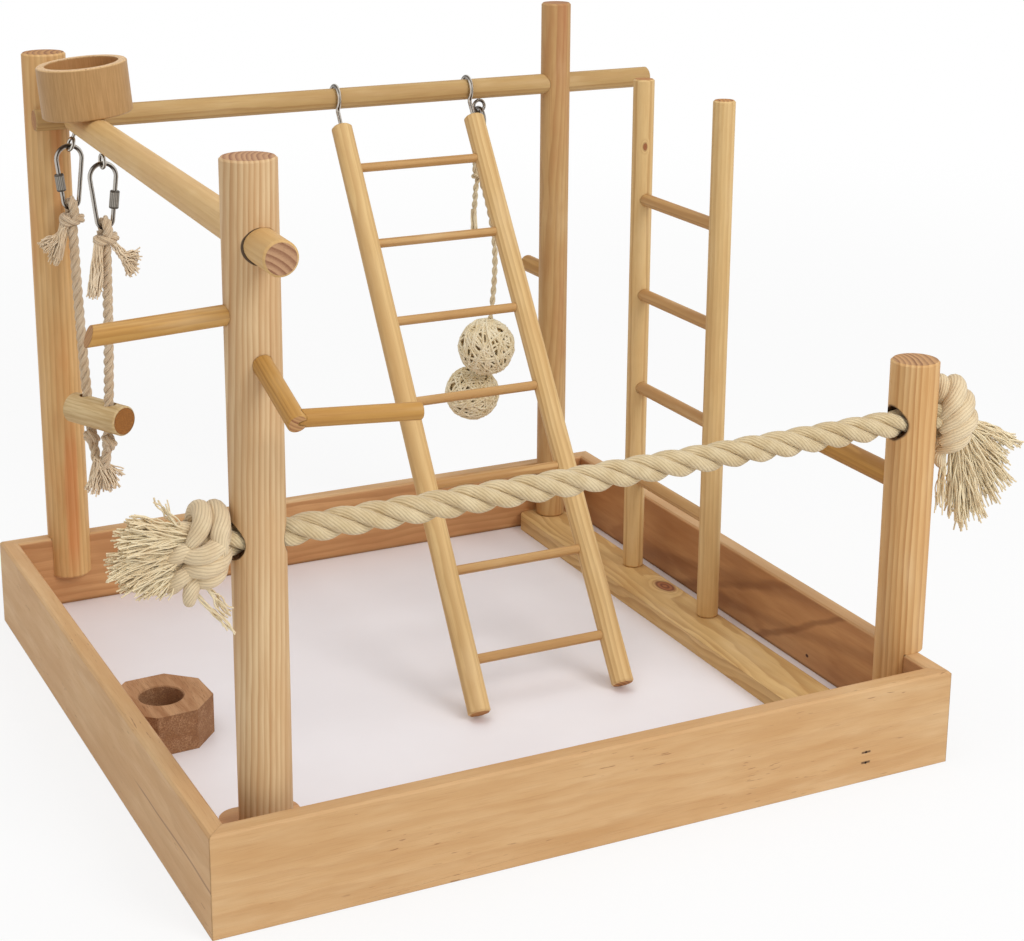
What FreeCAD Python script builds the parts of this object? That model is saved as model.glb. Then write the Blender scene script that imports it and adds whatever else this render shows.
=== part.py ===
"""Parrot play stand: a wooden tray with four posts, perches, two ladders, a swing,
a hanging toy and a thick rope. Millimetres. +X runs along the front board, +Y goes
to the back, +Z up. The origin is the centre of the tray's underside."""
import FreeCAD, Part
import math
import os

from FreeCAD import Vector

# ---- tray -------------------------------------------------------------------
TRAY_WIDTH = 480.0
TRAY_DEPTH = 470.0
BOARD_HEIGHT = 61.0
BOARD_THICK = 12.0
BOARD_EASE = 1.5            # eased top edges of the boards
PANEL_THICK = 10.0          # the floor panel between the boards

# ---- plank across the floor --------------------------------------------------
PLANK_WIDTH = 36.0
PLANK_THICK = 12.0
PLANK_RIGHT_GAP = 21.0      # between the plank and the right board
PLANK_CORNER = 9.0          # rounding of its rear end
PIN_RADIUS = 0.8
PIN_LENGTH = 24.0
PIN_SPACING = 7.0
PIN_FROM_EDGE = 7.5         # from the plank's left edge

# ---- posts -------------------------------------------------------------------
POST_DIAMETER = 30.0
REAR_POST_DIAMETER = 22.0
POST_EASE = 1.2
FRONT_LEFT_FROM_LEFT = 45.5     # axes of the posts from the tray's outer faces
FRONT_LEFT_FROM_FRONT = 39.0
FRONT_RIGHT_FROM_FRONT = 46.0
REAR_LEFT_FROM_LEFT = 49.0
REAR_POST_INSET = 1.0           # from the plank's right edge to the slim post
LEFT_POSTS_ABOVE_BEAM = 43.5    # from the beam's axis to the tops of the left posts
REAR_POST_ABOVE_RAIL = 60.5
FRONT_RIGHT_ABOVE_ROPE = 38.5
NOTCH_DEPTH = 29.0              # how far a notched post reaches down inside its board
FOOT_SIDE = 46.0
FOOT_HEIGHT = 30.0
FOOT_CORNER = 12.0

# ---- beam, rail and cup ------------------------------------------------------
RAIL_Z = 367.5                  # axes of the rail and the beam
BEAM_DIAMETER = 19.0
BEAM_OVERHANG = 6.0             # in front of the front board's face
BEAM_SIDESTEP = 15.5            # its rear end lies this far right of the rear left post
RAIL_DIAMETER = 15.0
RAIL_PAST_POST = 79.0           # from the slim post's axis to the rail's right end
RAIL_PAST_LEFT_POST = 13.0      # from the rear left post's axis to the rail's left end
CUP_DIAMETER = 60.0
CUP_HEIGHT = 34.0
CUP_WALL = 5.6
CUP_BOTTOM = 5.0
CUP_FROM_REAR = 67.0            # from the rear board's outer face
CUP_LEAN = 5.0                  # degrees, to the left
CUP_EASE = 0.8
SCREW_RADIUS = 2.0
SCREW_HEAD_RADIUS = 4.0
SCREW_HEAD_THICK = 2.0
SCREW_BITE = 9.0                # how far the cup's screw runs into the beam

# ---- perches -----------------------------------------------------------------
PERCH_SOCKET = 10.0             # depth of the perches' holes in the thick posts
PERCH_EASE = 0.8
LEFT_PERCH_DIAMETER = 11.0
LEFT_PERCH_BELOW_BEAM = 37.5
LEFT_PERCH_REACH = 71.0         # beyond the post's surface
LEFT_PERCH_DROP = 3.0
LEFT_PERCH_CUT = 22.0           # degrees that its sawn end leans
FRONT_PERCH_DIAMETER = 11.0
FRONT_PERCH_BELOW_BEAM = 62.5
FRONT_PERCH_REACH = 48.0
FRONT_PERCH_DROP = 17.0
CROSSBAR_DIAMETER = 9.4
CROSSBAR_LENGTH = 66.0
CROSSBAR_FORWARD = 6.0          # its free end lies this far nearer the front
CROSSBAR_DROP = 3.0
STUB_DIAMETER = 13.0
STUB_BELOW_RAIL = 149.5
STUB_REACH = 33.0
STUB_SOCKET = 6.0
SIDE_PERCH_DIAMETER = 14.5
SIDE_PERCH_BELOW_ROPE = 42.0
SIDE_PERCH_REACH = 87.0

# ---- standing ladder ---------------------------------------------------------
LADDER_ROD = 15.0               # diameter of the side rods of both ladders
LADDER_EASE = 1.0
RUNG_SOCKET = 4.0               # how far a rung's end runs into a side rod
STANDING_FROM_FRONT = 217.0     # axis of its front rod
STANDING_SPACING = 105.0
STANDING_LENGTH = 365.0
STANDING_RUNG_DIAMETER = 9.0
STANDING_RUNG_COUNT = 4
STANDING_FIRST_RUNG = 70.5      # above its feet
STANDING_LAST_RUNG = 85.5       # below its top

# ---- hanging ladder ----------------------------------------------------------
HANGING_RUNG_DIAMETER = 6.5
HANGING_SPACING = 105.0
HANGING_FROM_POST = 150.0       # middle of its feet, left of the slim post's axis
HANGING_FROM_FRONT = 162.5      # where its feet touch the floor
HANGING_TOP_SHIFT = 23.0        # the hooks hang this far right of the feet
HANGING_RUNG_COUNT = 7
HANGING_FIRST_RUNG = 35.0       # above its feet
HANGING_LAST_RUNG = 34.0        # below its rods' upper ends
HOOK_WIRE = 3.0
HOOK_CLEARANCE = 0.3
HOOK_BEND = 3.0                 # radius of the bend between shank and hook
HOOK_SHANK = 14.0               # length of the shank inside the side rod
HOOK_TURN = 206.0               # degrees that the hook runs round the rail
HOOK_NECK = 12.0                # bare shank between the rod's end and the bend

# ---- eyes and quick links ----------------------------------------------------
EYE_RING = 4.3                  # radius of the ring's centre line
EYE_WIRE = 2.4
EYE_SHANK = 8.0                 # length of the thread inside the wood
LINK_WIRE = 3.0
LINK_WIDE = 9.0                 # radii of the centre lines of its two ends
LINK_NARROW = 5.5
LINK_CENTRES = 28.5
LINK_PLAY = 0.3
LINK_GAP = 4.0                  # opening in the side that the nut closes
NUT_DIAMETER = 6.4
NUT_LENGTH = 12.0
NUT_PLAY = 0.05
NUT_EASE = 0.5
NUT_PLACE = 13.5                # its middle, from the lower end of the link's side

# ---- swing -------------------------------------------------------------------
SWING_EYE_DROP = 12.0           # from the wood's surface to the middle of the lower wire
SWING_FRONT_EYE = 99.0          # eyes in front of the rear board's outer face
SWING_REAR_EYE = 35.0
SWING_REAR_EYE_LEAN = 22.0      # degrees; it is screwed into the beam's left flank
SWING_ROPE = 7.0
LOOP_PLAY = 0.3                 # between a rope's loop and the link's wire
KNOT_RADIUS = 7.0
KNOT_LENGTH = 20.0
KNOT_ROUND = 4.0
TAIL_RADIUS = 3.4
TAIL_END_RADIUS = 6.5
REAR_TAIL = (-17.0, -2.0, -29.0)
FRONT_TAILS = ((-16.0, -4.0, -36.0), (21.0, 0.0, -22.0))
SWING_PERCH_DROP = 198.5        # below the beam's axis
SWING_PERCH_FROM_REAR = 69.0
SWING_PERCH_LENGTH = 52.0
SWING_PERCH_DIAMETER = 21.0
SWING_PERCH_TURN = 26.0         # degrees; its front end is turned to the right
SWING_HOLE_SPACING = 27.0
STOPPER_RADIUS = 7.0
STOPPER_LENGTH = 15.0
STOPPER_GAP = 0.7           # to the perch
TASSEL_KNOT_DROP = 28.0         # from the perch's underside to the joint of the two ropes
SWING_TASSEL_RADIUS = 9.0
SWING_TASSEL_END = 12.5
SWING_TASSEL_LENGTH = 24.0

# ---- toy ---------------------------------------------------------------------
TOY_FROM_POST = 64.0            # left of the slim post's axis
TOY_EYE_DROP = 10.0
STRING_DIAMETER = 4.4
TOY_KNOT_RADIUS = 5.0
TOY_KNOT_LENGTH = 11.0
TOY_KNOT_ROUND = 2.5
TOY_TAIL = (-1.5, 0.0, -44.0)
TOY_TAIL_END = 3.2
STRING_POINTS = ((9.5, 0.0, -38.0), (14.5, -3.0, -86.0))    # from the link's narrow end
UPPER_BALL_DIAMETER = 46.0
LOWER_BALL_DIAMETER = 44.0
UPPER_BALL = (3.0, -8.0, -146.0)
LOWER_BALL = (-0.5, 10.0, -187.5)
STRING_HOLE_DEPTH = 5.0
STRING_HOLE_PLAY = 0.3

# ---- treat block -------------------------------------------------------------
BLOCK_SIDE = 60.0
BLOCK_CHAMFER = 17.0
BLOCK_HEIGHT = 26.0
BLOCK_BORE = 28.0
BLOCK_BOTTOM = 6.0
BLOCK_WALL_GAP = 1.5            # to the left board
BLOCK_FROM_FRONT = 226.0
BLOCK_TURN = 3.0
BLOCK_EASE = 0.8

# ---- thick rope --------------------------------------------------------------
ROPE_DIAMETER = 16.6
ROPE_HOLE_PLAY = 2.0
ROPE_Z = 207.5                  # where it passes the front left post
ROPE_RISE = 4.0                 # it passes the front right post this much higher
ROPE_SAG = 2.0
ROPE_KNOT_RADIUS = 21.0
ROPE_KNOT_THICK = 21.0
ROPE_KNOT_ROUND = 9.0
ROPE_KNOT_GAP = 0.3             # between a knot and its post
TASSEL_ROOT = 9.0
TASSEL_END = 24.0
LEFT_TASSEL = (-48.0, 0.0, 6.0)
RIGHT_TASSEL = (33.0, 0.0, -50.0)

# ---- worked out --------------------------------------------------------------
UP = Vector(0, 0, 1)
ALONG_X = Vector(1, 0, 0)
ALONG_Y = Vector(0, 1, 0)
LEFT = -TRAY_WIDTH / 2
RIGHT = TRAY_WIDTH / 2
FRONT = -TRAY_DEPTH / 2
REAR = TRAY_DEPTH / 2
POST_R = POST_DIAMETER / 2
REAR_POST_R = REAR_POST_DIAMETER / 2
ROD_R = LADDER_ROD / 2
RAIL_R = RAIL_DIAMETER / 2
BEAM_R = BEAM_DIAMETER / 2
WIRE_R = LINK_WIRE / 2
EYE_WIRE_R = EYE_WIRE / 2
SWING_ROPE_R = SWING_ROPE / 2
STRING_R = STRING_DIAMETER / 2
ROPE_R = ROPE_DIAMETER / 2
PLANK_TOP = PANEL_THICK + PLANK_THICK
PLANK_RIGHT = RIGHT - BOARD_THICK - PLANK_RIGHT_GAP
PLANK_LEFT = PLANK_RIGHT - PLANK_WIDTH
NOTCHED_LOW = BOARD_HEIGHT - NOTCH_DEPTH
FRONT_LEFT = Vector(LEFT + FRONT_LEFT_FROM_LEFT, FRONT + FRONT_LEFT_FROM_FRONT, 0)
FRONT_RIGHT = Vector(RIGHT - BOARD_THICK / 2, FRONT + FRONT_RIGHT_FROM_FRONT, 0)
REAR_LEFT = Vector(LEFT + REAR_LEFT_FROM_LEFT, REAR - BOARD_THICK / 2, 0)
REAR_RIGHT = Vector(PLANK_RIGHT - REAR_POST_INSET - REAR_POST_R, REAR - BOARD_THICK - REAR_POST_R, 0)
RAIL_Y = REAR_RIGHT.y
LEFT_POSTS_TOP = RAIL_Z + LEFT_POSTS_ABOVE_BEAM
BEAM_START = Vector(FRONT_LEFT.x, FRONT - BEAM_OVERHANG, RAIL_Z)
BEAM_END = Vector(REAR_LEFT.x + BEAM_SIDESTEP, RAIL_Y, RAIL_Z)
BEAM_DIR = (BEAM_END - BEAM_START).normalize()
LINK_HANG = EYE_WIRE_R + WIRE_R + LINK_PLAY
LINK_TO_NARROW = LINK_WIDE + LINK_CENTRES - LINK_HANG    # eye's lower wire to narrow end's centre


# ---- helpers -----------------------------------------------------------------
def save(shape, name):
    """Writes one node: a solid, or several separate solids of one kind."""
    shape.exportStep("parts/" + name + ".step")
    print(name, len(shape.Solids), round(shape.Volume, 1), shape.isValid())


def box(low, high):
    size = high - low
    return Part.makeBox(size.x, size.y, size.z, low)


def rod(start, end, radius):
    return Part.makeCylinder(radius, (end - start).Length, start, end - start)


def circles(shape):
    return [e for e in shape.Edges if isinstance(e.Curve, Part.Circle)]


def uprights(shape):
    """The edges that run along Z."""
    return [e for e in shape.Edges
            if len(e.Vertexes) == 2 and abs(e.tangentAt(e.FirstParameter).z) > 0.999]


def dowel(start, end, radius, ease):
    """A round rod whose two ends are eased."""
    shape = rod(start, end, radius)
    return shape.makeChamfer(ease, circles(shape))


def button(middle, axis, radius, length, rounding):
    """A short round body with well rounded ends, such as a pulled-tight knot."""
    half = axis * (length / 2)
    shape = rod(middle - half, middle + half, radius)
    return shape.makeFillet(rounding, circles(shape))


def brush(start, reach, root, end):
    """A frayed end: a cone that widens along its reach."""
    return Part.makeCone(root, end, reach.Length, start, reach)


def placed(shape, origin, x_axis, z_axis):
    """Moves a shape made about the origin so that its X and Z lie along two axes."""
    turn = FreeCAD.Rotation(x_axis, z_axis.cross(x_axis), z_axis, "ZXY")
    moved = shape.copy()
    moved.Placement = FreeCAD.Placement(origin, turn)
    return moved


def straight(a, b):
    return Part.LineSegment(a, b).toShape()


def arc(a, middle, b):
    return Part.Arc(a, middle, b).toShape()


def tube(edges, radius):
    """A round wire or rope along a chain of tangent edges."""
    path = Part.Wire(edges)
    first = edges[0]
    start = first.valueAt(first.FirstParameter)
    section = Part.Wire(Part.makeCircle(radius, start, first.tangentAt(first.FirstParameter)))
    return path.makePipeShell([section], True, True)


def cord(points, radius, name):
    """A rope's tube: straight runs joined by the largest tangent arcs they allow."""
    edges = []
    radii = []
    at = points[0]
    for before, corner, after in zip(points, points[1:], points[2:]):
        go_in = (corner - before).normalize()
        go_out = (after - corner).normalize()
        half = go_in.getAngle(go_out) / 2
        cut = 0.45 * min((corner - before).Length, (after - corner).Length)
        bend = cut / math.tan(half)
        first = corner - go_in * cut
        last = corner + go_out * cut
        inward = (go_out - go_in).normalize()
        centre = corner + inward * (bend / math.cos(half))
        edges.append(straight(at, first))
        edges.append(arc(first, centre - inward * bend, last))
        radii.append(round(bend, 1))
        at = last
    edges.append(straight(at, points[-1]))
    shape = tube(edges, radius)
    length = sum(e.Length for e in edges)
    print(name, "radii", radii, "length", round(length, 1),
          "volume ratio", round(shape.Volume / (math.pi * radius ** 2 * length), 4))
    return shape


# ---- tray --------------------------------------------------------------------
def side_board(start, end, inward):
    """A board with mitred ends and eased top edges, between two outer corners of the tray."""
    along = (end - start).normalize() * BOARD_THICK
    inner = inward * BOARD_THICK
    outline = Part.makePolygon([start, end, end - along + inner, start + along + inner, start])
    board = Part.Face(outline).extrude(UP * BOARD_HEIGHT)
    tops = [e for e in board.Edges
            if abs(e.CenterOfMass.z - BOARD_HEIGHT) < 0.01
            and abs(e.tangentAt(e.FirstParameter).dot(inward)) < 0.01]
    return board.makeChamfer(BOARD_EASE, tops)


def tray():
    """Front, right, rear and left board, and the floor panel between them."""
    corners = [Vector(LEFT, FRONT, 0), Vector(RIGHT, FRONT, 0), Vector(RIGHT, REAR, 0), Vector(LEFT, REAR, 0)]
    inward = (ALONG_Y, ALONG_X * -1, ALONG_Y * -1, ALONG_X)
    boards = [side_board(corners[i], corners[(i + 1) % 4], inward[i]) for i in range(4)]
    panel = box(Vector(LEFT + BOARD_THICK, FRONT + BOARD_THICK, 0),
                Vector(RIGHT - BOARD_THICK, REAR - BOARD_THICK, PANEL_THICK))
    return boards, panel


def cross_plank():
    shape = box(Vector(PLANK_LEFT, FRONT + BOARD_THICK, PANEL_THICK),
                Vector(PLANK_RIGHT, REAR - BOARD_THICK, PLANK_TOP))
    return shape.makeFillet(PLANK_CORNER, [e for e in uprights(shape) if e.CenterOfMass.y > 0])


def plank_pins():
    """Two pins through the front board into the plank's end."""
    middle = Vector(PLANK_LEFT + PIN_FROM_EDGE, FRONT, (PANEL_THICK + PLANK_TOP) / 2)
    starts = [middle + UP * (side * PIN_SPACING / 2) for side in (-1, 1)]
    return Part.makeCompound([rod(start, start + ALONG_Y * PIN_LENGTH, PIN_RADIUS) for start in starts])


# ---- posts -------------------------------------------------------------------
def notched_post(axis, top, outward):
    """A post that sits on a board's top edge; its inner part reaches down inside the board."""
    post = dowel(axis + UP * NOTCHED_LOW, axis + UP * top, POST_R, POST_EASE)
    across = outward.cross(UP) * POST_DIAMETER
    face = axis - outward * (BOARD_THICK / 2)
    corners = [face - across, face + across, face + across + outward * POST_DIAMETER,
               face - across + outward * POST_DIAMETER, face - across]
    return post.cut(Part.Face(Part.makePolygon(corners)).extrude(UP * BOARD_HEIGHT))


def front_left_foot():
    half = Vector(FOOT_SIDE / 2, FOOT_SIDE / 2, 0)
    low = FRONT_LEFT - half + UP * PANEL_THICK
    block = box(low, low + half * 2 + UP * FOOT_HEIGHT)
    return block.makeFillet(FOOT_CORNER, uprights(block))


# ---- beam, rail and cup ------------------------------------------------------
def top_rail():
    start = Vector(REAR_LEFT.x - RAIL_PAST_LEFT_POST, RAIL_Y, RAIL_Z)
    end = Vector(REAR_RIGHT.x + RAIL_PAST_POST, RAIL_Y, RAIL_Z)
    return dowel(start, end, RAIL_R, PERCH_EASE)


def top_beam(rail, post):
    """The thick dowel from in front of the front left post back to the rail, its end
    coped to the rail and to the rear left post."""
    beam = dowel(BEAM_START, BEAM_END + BEAM_DIR * BEAM_DIAMETER, BEAM_R, POST_EASE)
    behind = box(Vector(LEFT, RAIL_Y, 0), Vector(RIGHT, REAR + BEAM_DIAMETER, LEFT_POSTS_TOP))
    pieces = beam.cut(behind).cut(rail).cut(post).Solids
    return max(pieces, key=lambda piece: piece.Volume)


def on_beam(from_rear):
    """The point on the beam's axis that lies this far in front of the rear board's outer face."""
    share = (REAR - from_rear - BEAM_START.y) / (BEAM_END.y - BEAM_START.y)
    return BEAM_START + (BEAM_END - BEAM_START) * share


def leaned(degrees):
    """The upward direction, leaned to the right about the beam."""
    return FreeCAD.Rotation(BEAM_DIR, degrees).multVec(UP)


def seed_cup():
    up = leaned(-CUP_LEAN)
    outer = Part.makeCylinder(CUP_DIAMETER / 2, CUP_HEIGHT)
    outer = outer.makeChamfer(CUP_EASE, circles(outer))
    inner = Part.makeCylinder(CUP_DIAMETER / 2 - CUP_WALL, CUP_HEIGHT, Vector(0, 0, CUP_BOTTOM))
    return placed(outer.cut(inner), on_beam(CUP_FROM_REAR) + up * BEAM_R, BEAM_DIR.cross(up), up)


def seed_cup_screw():
    """The screw from the cup's inside down into the beam, without its thread."""
    up = leaned(-CUP_LEAN)
    top = on_beam(CUP_FROM_REAR) + up * (BEAM_R + CUP_BOTTOM)
    shank_top = top - up * SCREW_HEAD_THICK
    head = Part.makeCone(SCREW_HEAD_RADIUS, SCREW_RADIUS, SCREW_HEAD_THICK, top, up * -1)
    shank = rod(shank_top, top - up * (CUP_BOTTOM + SCREW_BITE), SCREW_RADIUS)
    return head.fuse(shank).removeSplitter()


# ---- perches -----------------------------------------------------------------
def left_perch():
    """Runs to the left from the front left post; its free end is sawn at a slant."""
    surface = Vector(FRONT_LEFT.x - POST_R, FRONT_LEFT.y, RAIL_Z - LEFT_PERCH_BELOW_BEAM)
    tip = surface - Vector(LEFT_PERCH_REACH, 0, LEFT_PERCH_DROP)
    along = (tip - surface).normalize()
    shape = rod(surface - along * PERCH_SOCKET, tip + along * LEFT_PERCH_DIAMETER, LEFT_PERCH_DIAMETER / 2)
    slant = FreeCAD.Rotation(ALONG_Y, LEFT_PERCH_CUT).multVec(along)
    size = LEFT_PERCH_DIAMETER * 4
    blade = Part.makeBox(size, size, size, Vector(-size / 2, -size / 2, 0))
    return shape.cut(placed(blade, tip, ALONG_Y, slant))


def front_perch_line():
    surface = Vector(FRONT_LEFT.x, FRONT_LEFT.y - POST_R, RAIL_Z - FRONT_PERCH_BELOW_BEAM)
    tip = surface - Vector(0, FRONT_PERCH_REACH, FRONT_PERCH_DROP)
    return surface, tip, (tip - surface).normalize()


def front_perch():
    surface, tip, along = front_perch_line()
    return dowel(surface - along * PERCH_SOCKET, tip, FRONT_PERCH_DIAMETER / 2, PERCH_EASE)


def front_crossbar(perch):
    """A thin bar, coped to the side of the front perch's end."""
    _, tip, along = front_perch_line()
    start = tip - along * (CROSSBAR_DIAMETER / 2)
    end = start + Vector(CROSSBAR_LENGTH, -CROSSBAR_FORWARD, -CROSSBAR_DROP)
    return max(dowel(start, end, CROSSBAR_DIAMETER / 2, PERCH_EASE).cut(perch).Solids,
               key=lambda piece: piece.Volume)


def rear_stub_perch():
    surface = Vector(REAR_RIGHT.x, REAR_RIGHT.y + REAR_POST_R, RAIL_Z - STUB_BELOW_RAIL)
    return dowel(surface - ALONG_Y * STUB_SOCKET, surface + ALONG_Y * STUB_REACH,
                 STUB_DIAMETER / 2, PERCH_EASE)


def side_perch():
    surface = Vector(FRONT_RIGHT.x, FRONT_RIGHT.y + POST_R, ROPE_Z + ROPE_RISE - SIDE_PERCH_BELOW_ROPE)
    return dowel(surface - ALONG_Y * PERCH_SOCKET, surface + ALONG_Y * SIDE_PERCH_REACH,
                 SIDE_PERCH_DIAMETER / 2, PERCH_EASE)


# ---- ladders -----------------------------------------------------------------
def ladder(feet, up, length, radius, first, last, count):
    """Two side rods and evenly spaced rungs whose ends are let into them."""
    rods = [dowel(foot, foot + up * length, ROD_R, LADDER_EASE) for foot in feet]
    inset = (feet[1] - feet[0]).normalize() * (ROD_R - RUNG_SOCKET)
    pitch = (length - first - last) / (count - 1)
    rungs = [rod(feet[0] + inset + up * at, feet[1] - inset + up * at, radius)
             for at in (first + pitch * i for i in range(count))]
    rods = [piece.cut(Part.makeCompound(rungs)) for piece in rods]
    return rods, rungs


def standing_ladder():
    """Stands upright on the plank; its rear rod first."""
    front = Vector(PLANK_RIGHT - ROD_R, FRONT + STANDING_FROM_FRONT, PLANK_TOP)
    feet = [front + ALONG_Y * STANDING_SPACING, front]
    return ladder(feet, UP, STANDING_LENGTH, STANDING_RUNG_DIAMETER / 2,
                  STANDING_FIRST_RUNG, STANDING_LAST_RUNG, STANDING_RUNG_COUNT)


def hanging_line():
    """Foot and rail points of the hanging ladder's middle line. The rods' square lower
    ends rest on the floor with their rear edges."""
    touch = Vector(REAR_RIGHT.x - HANGING_FROM_POST, FRONT + HANGING_FROM_FRONT, PANEL_THICK)
    top = Vector(touch.x + HANGING_TOP_SHIFT, RAIL_Y, RAIL_Z)
    run = top - touch
    slope = math.atan2(run.z, run.y) - math.asin(ROD_R / math.hypot(run.y, run.z))
    foot = touch + Vector(0, -math.sin(slope), math.cos(slope)) * ROD_R
    return foot, top, (top - foot).normalize()


def hook_start():
    """The ring's radius, and how far below the rail's axis the hook leaves its shank's line."""
    ring = RAIL_R + HOOK_CLEARANCE + HOOK_WIRE / 2
    return ring, math.sqrt(ring ** 2 + 2 * ring * HOOK_BEND)


def hook(top, up):
    """A screw hook over the rail, its shank down in the side rod."""
    ring, start = hook_start()
    forward = (ALONG_X - up * ALONG_X.dot(up)).normalize().cross(up)
    first = math.atan2(HOOK_BEND, start)
    last = first + math.radians(HOOK_TURN)

    def on_ring(angle):
        return top + (forward * math.sin(angle) - up * math.cos(angle)) * ring

    bend_centre = top - up * start + forward * HOOK_BEND
    leave = top - up * start
    touch = on_ring(first)
    bend_middle = bend_centre + ((leave + touch) * 0.5 - bend_centre).normalize() * HOOK_BEND
    edges = [straight(leave - up * (HOOK_NECK + HOOK_SHANK), leave), arc(leave, bend_middle, touch),
             arc(touch, on_ring((first + last) / 2), on_ring(last))]
    return tube(edges, HOOK_WIRE / 2)


def hanging_ladder():
    """Hangs from the rail by two hooks and leans on the floor; its left rod first."""
    foot, top, up = hanging_line()
    _, start = hook_start()
    length = (top - foot).Length - start - HOOK_NECK
    sides = [ALONG_X * (-HANGING_SPACING / 2), ALONG_X * (HANGING_SPACING / 2)]
    rods, rungs = ladder([foot + side for side in sides], up, length, HANGING_RUNG_DIAMETER / 2,
                         HANGING_FIRST_RUNG, HANGING_LAST_RUNG, HANGING_RUNG_COUNT)
    hooks = [hook(top + side, up) for side in sides]
    rods = [piece.cut(screw) for piece, screw in zip(rods, hooks)]
    return rods, rungs, hooks


# ---- eyes and quick links ----------------------------------------------------
def screw_eye(drop):
    """The origin is the middle of the ring's lower wire; the ring lies in YZ and the
    shank runs up into the wood, whose surface is the drop above the origin."""
    ring = Part.makeTorus(EYE_RING, EYE_WIRE_R, Vector(0, 0, EYE_RING), ALONG_X)
    shank = rod(Vector(0, 0, 2 * EYE_RING), Vector(0, 0, drop + EYE_SHANK), EYE_WIRE_R)
    return ring.fuse(shank).removeSplitter()


def link_side():
    """Centres of the link's wide and narrow ends, and the upper and lower end of its
    straight right side, in the link's own XZ plane below an eye's lower wire."""
    lean = math.asin((LINK_WIDE - LINK_NARROW) / LINK_CENTRES)
    outward = Vector(math.cos(lean), 0, -math.sin(lean))
    wide = UP * (LINK_HANG - LINK_WIDE)
    narrow = UP * -LINK_TO_NARROW
    return wide, narrow, wide + outward * LINK_WIDE, narrow + outward * LINK_NARROW


def nut_ends(length):
    """Both ends of a stretch of the link's right side, centred where the nut sits."""
    _, _, high, low = link_side()
    along = (high - low).normalize()
    middle = low + along * NUT_PLACE
    return middle - along * (length / 2), middle + along * (length / 2)


def mirrored(point):
    return Vector(-point.x, point.y, point.z)


def link():
    """A pear-shaped quick link; the gap in its right side is where its nut sits."""
    wide, narrow, high, low = link_side()
    gap_low, gap_high = nut_ends(LINK_GAP)
    edges = [straight(gap_high, high), arc(high, wide + UP * LINK_WIDE, mirrored(high)),
             straight(mirrored(high), mirrored(low)),
             arc(mirrored(low), narrow - UP * LINK_NARROW, low), straight(low, gap_low)]
    return tube(edges, WIRE_R)


def link_nut():
    start, end = nut_ends(NUT_LENGTH)
    return dowel(start, end, NUT_DIAMETER / 2, NUT_EASE).cut(rod(start, end, WIRE_R + NUT_PLAY))


def loop(eye_point, side, radius):
    """A rope's loop round a link's narrow end, and the point at the loop's bottom."""
    wire = eye_point - UP * (LINK_TO_NARROW + LINK_NARROW)
    ring = WIRE_R + LOOP_PLAY + radius
    return Part.makeTorus(ring, radius, wire, side), wire - UP * ring


# ---- swing -------------------------------------------------------------------
def swing_eyes():
    """Place and upward direction of the two eyes' lower wires, rear one first."""
    eyes = []
    for from_rear, lean in ((SWING_REAR_EYE, SWING_REAR_EYE_LEAN), (SWING_FRONT_EYE, 0)):
        up = leaned(lean)
        eyes.append((on_beam(from_rear) - up * (BEAM_R + SWING_EYE_DROP), up))
    return eyes


def swing_line():
    """The rear eye's point and the direction from there to the front eye."""
    (rear, _), (front, _) = swing_eyes()
    return rear, (front - rear).normalize()


def link_axes():
    """Level directions: along the line of the two eyes to the rear, and to the right of it."""
    _, forward = swing_line()
    along = Vector(-forward.x, -forward.y, 0).normalize()
    return along, along.cross(UP)


def swing_hardware():
    """Eyes, links and nuts. The rear link's nut is on its left, the front one's on its right."""
    along, side = link_axes()
    eyes = []
    links = []
    nuts = []
    for (point, up), facing in zip(swing_eyes(), (side * -1, side)):
        ring_normal = (side - up * side.dot(up)).normalize()
        eyes.append(placed(screw_eye(SWING_EYE_DROP), point, ring_normal, up))
        links.append(placed(link(), point, facing, UP))
        nuts.append(placed(link_nut(), point, facing, UP))
    return Part.makeCompound(eyes), links, nuts


def swing_perch_line():
    """Middle of the swing's perch, plumb below the line of the eyes, and its direction
    to the rear."""
    rear, forward = swing_line()
    reach = (REAR - SWING_PERCH_FROM_REAR - rear.y) / forward.y
    middle = rear + forward * reach
    middle.z = RAIL_Z - SWING_PERCH_DROP
    return middle, FreeCAD.Rotation(UP, SWING_PERCH_TURN).multVec(ALONG_Y)


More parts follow.
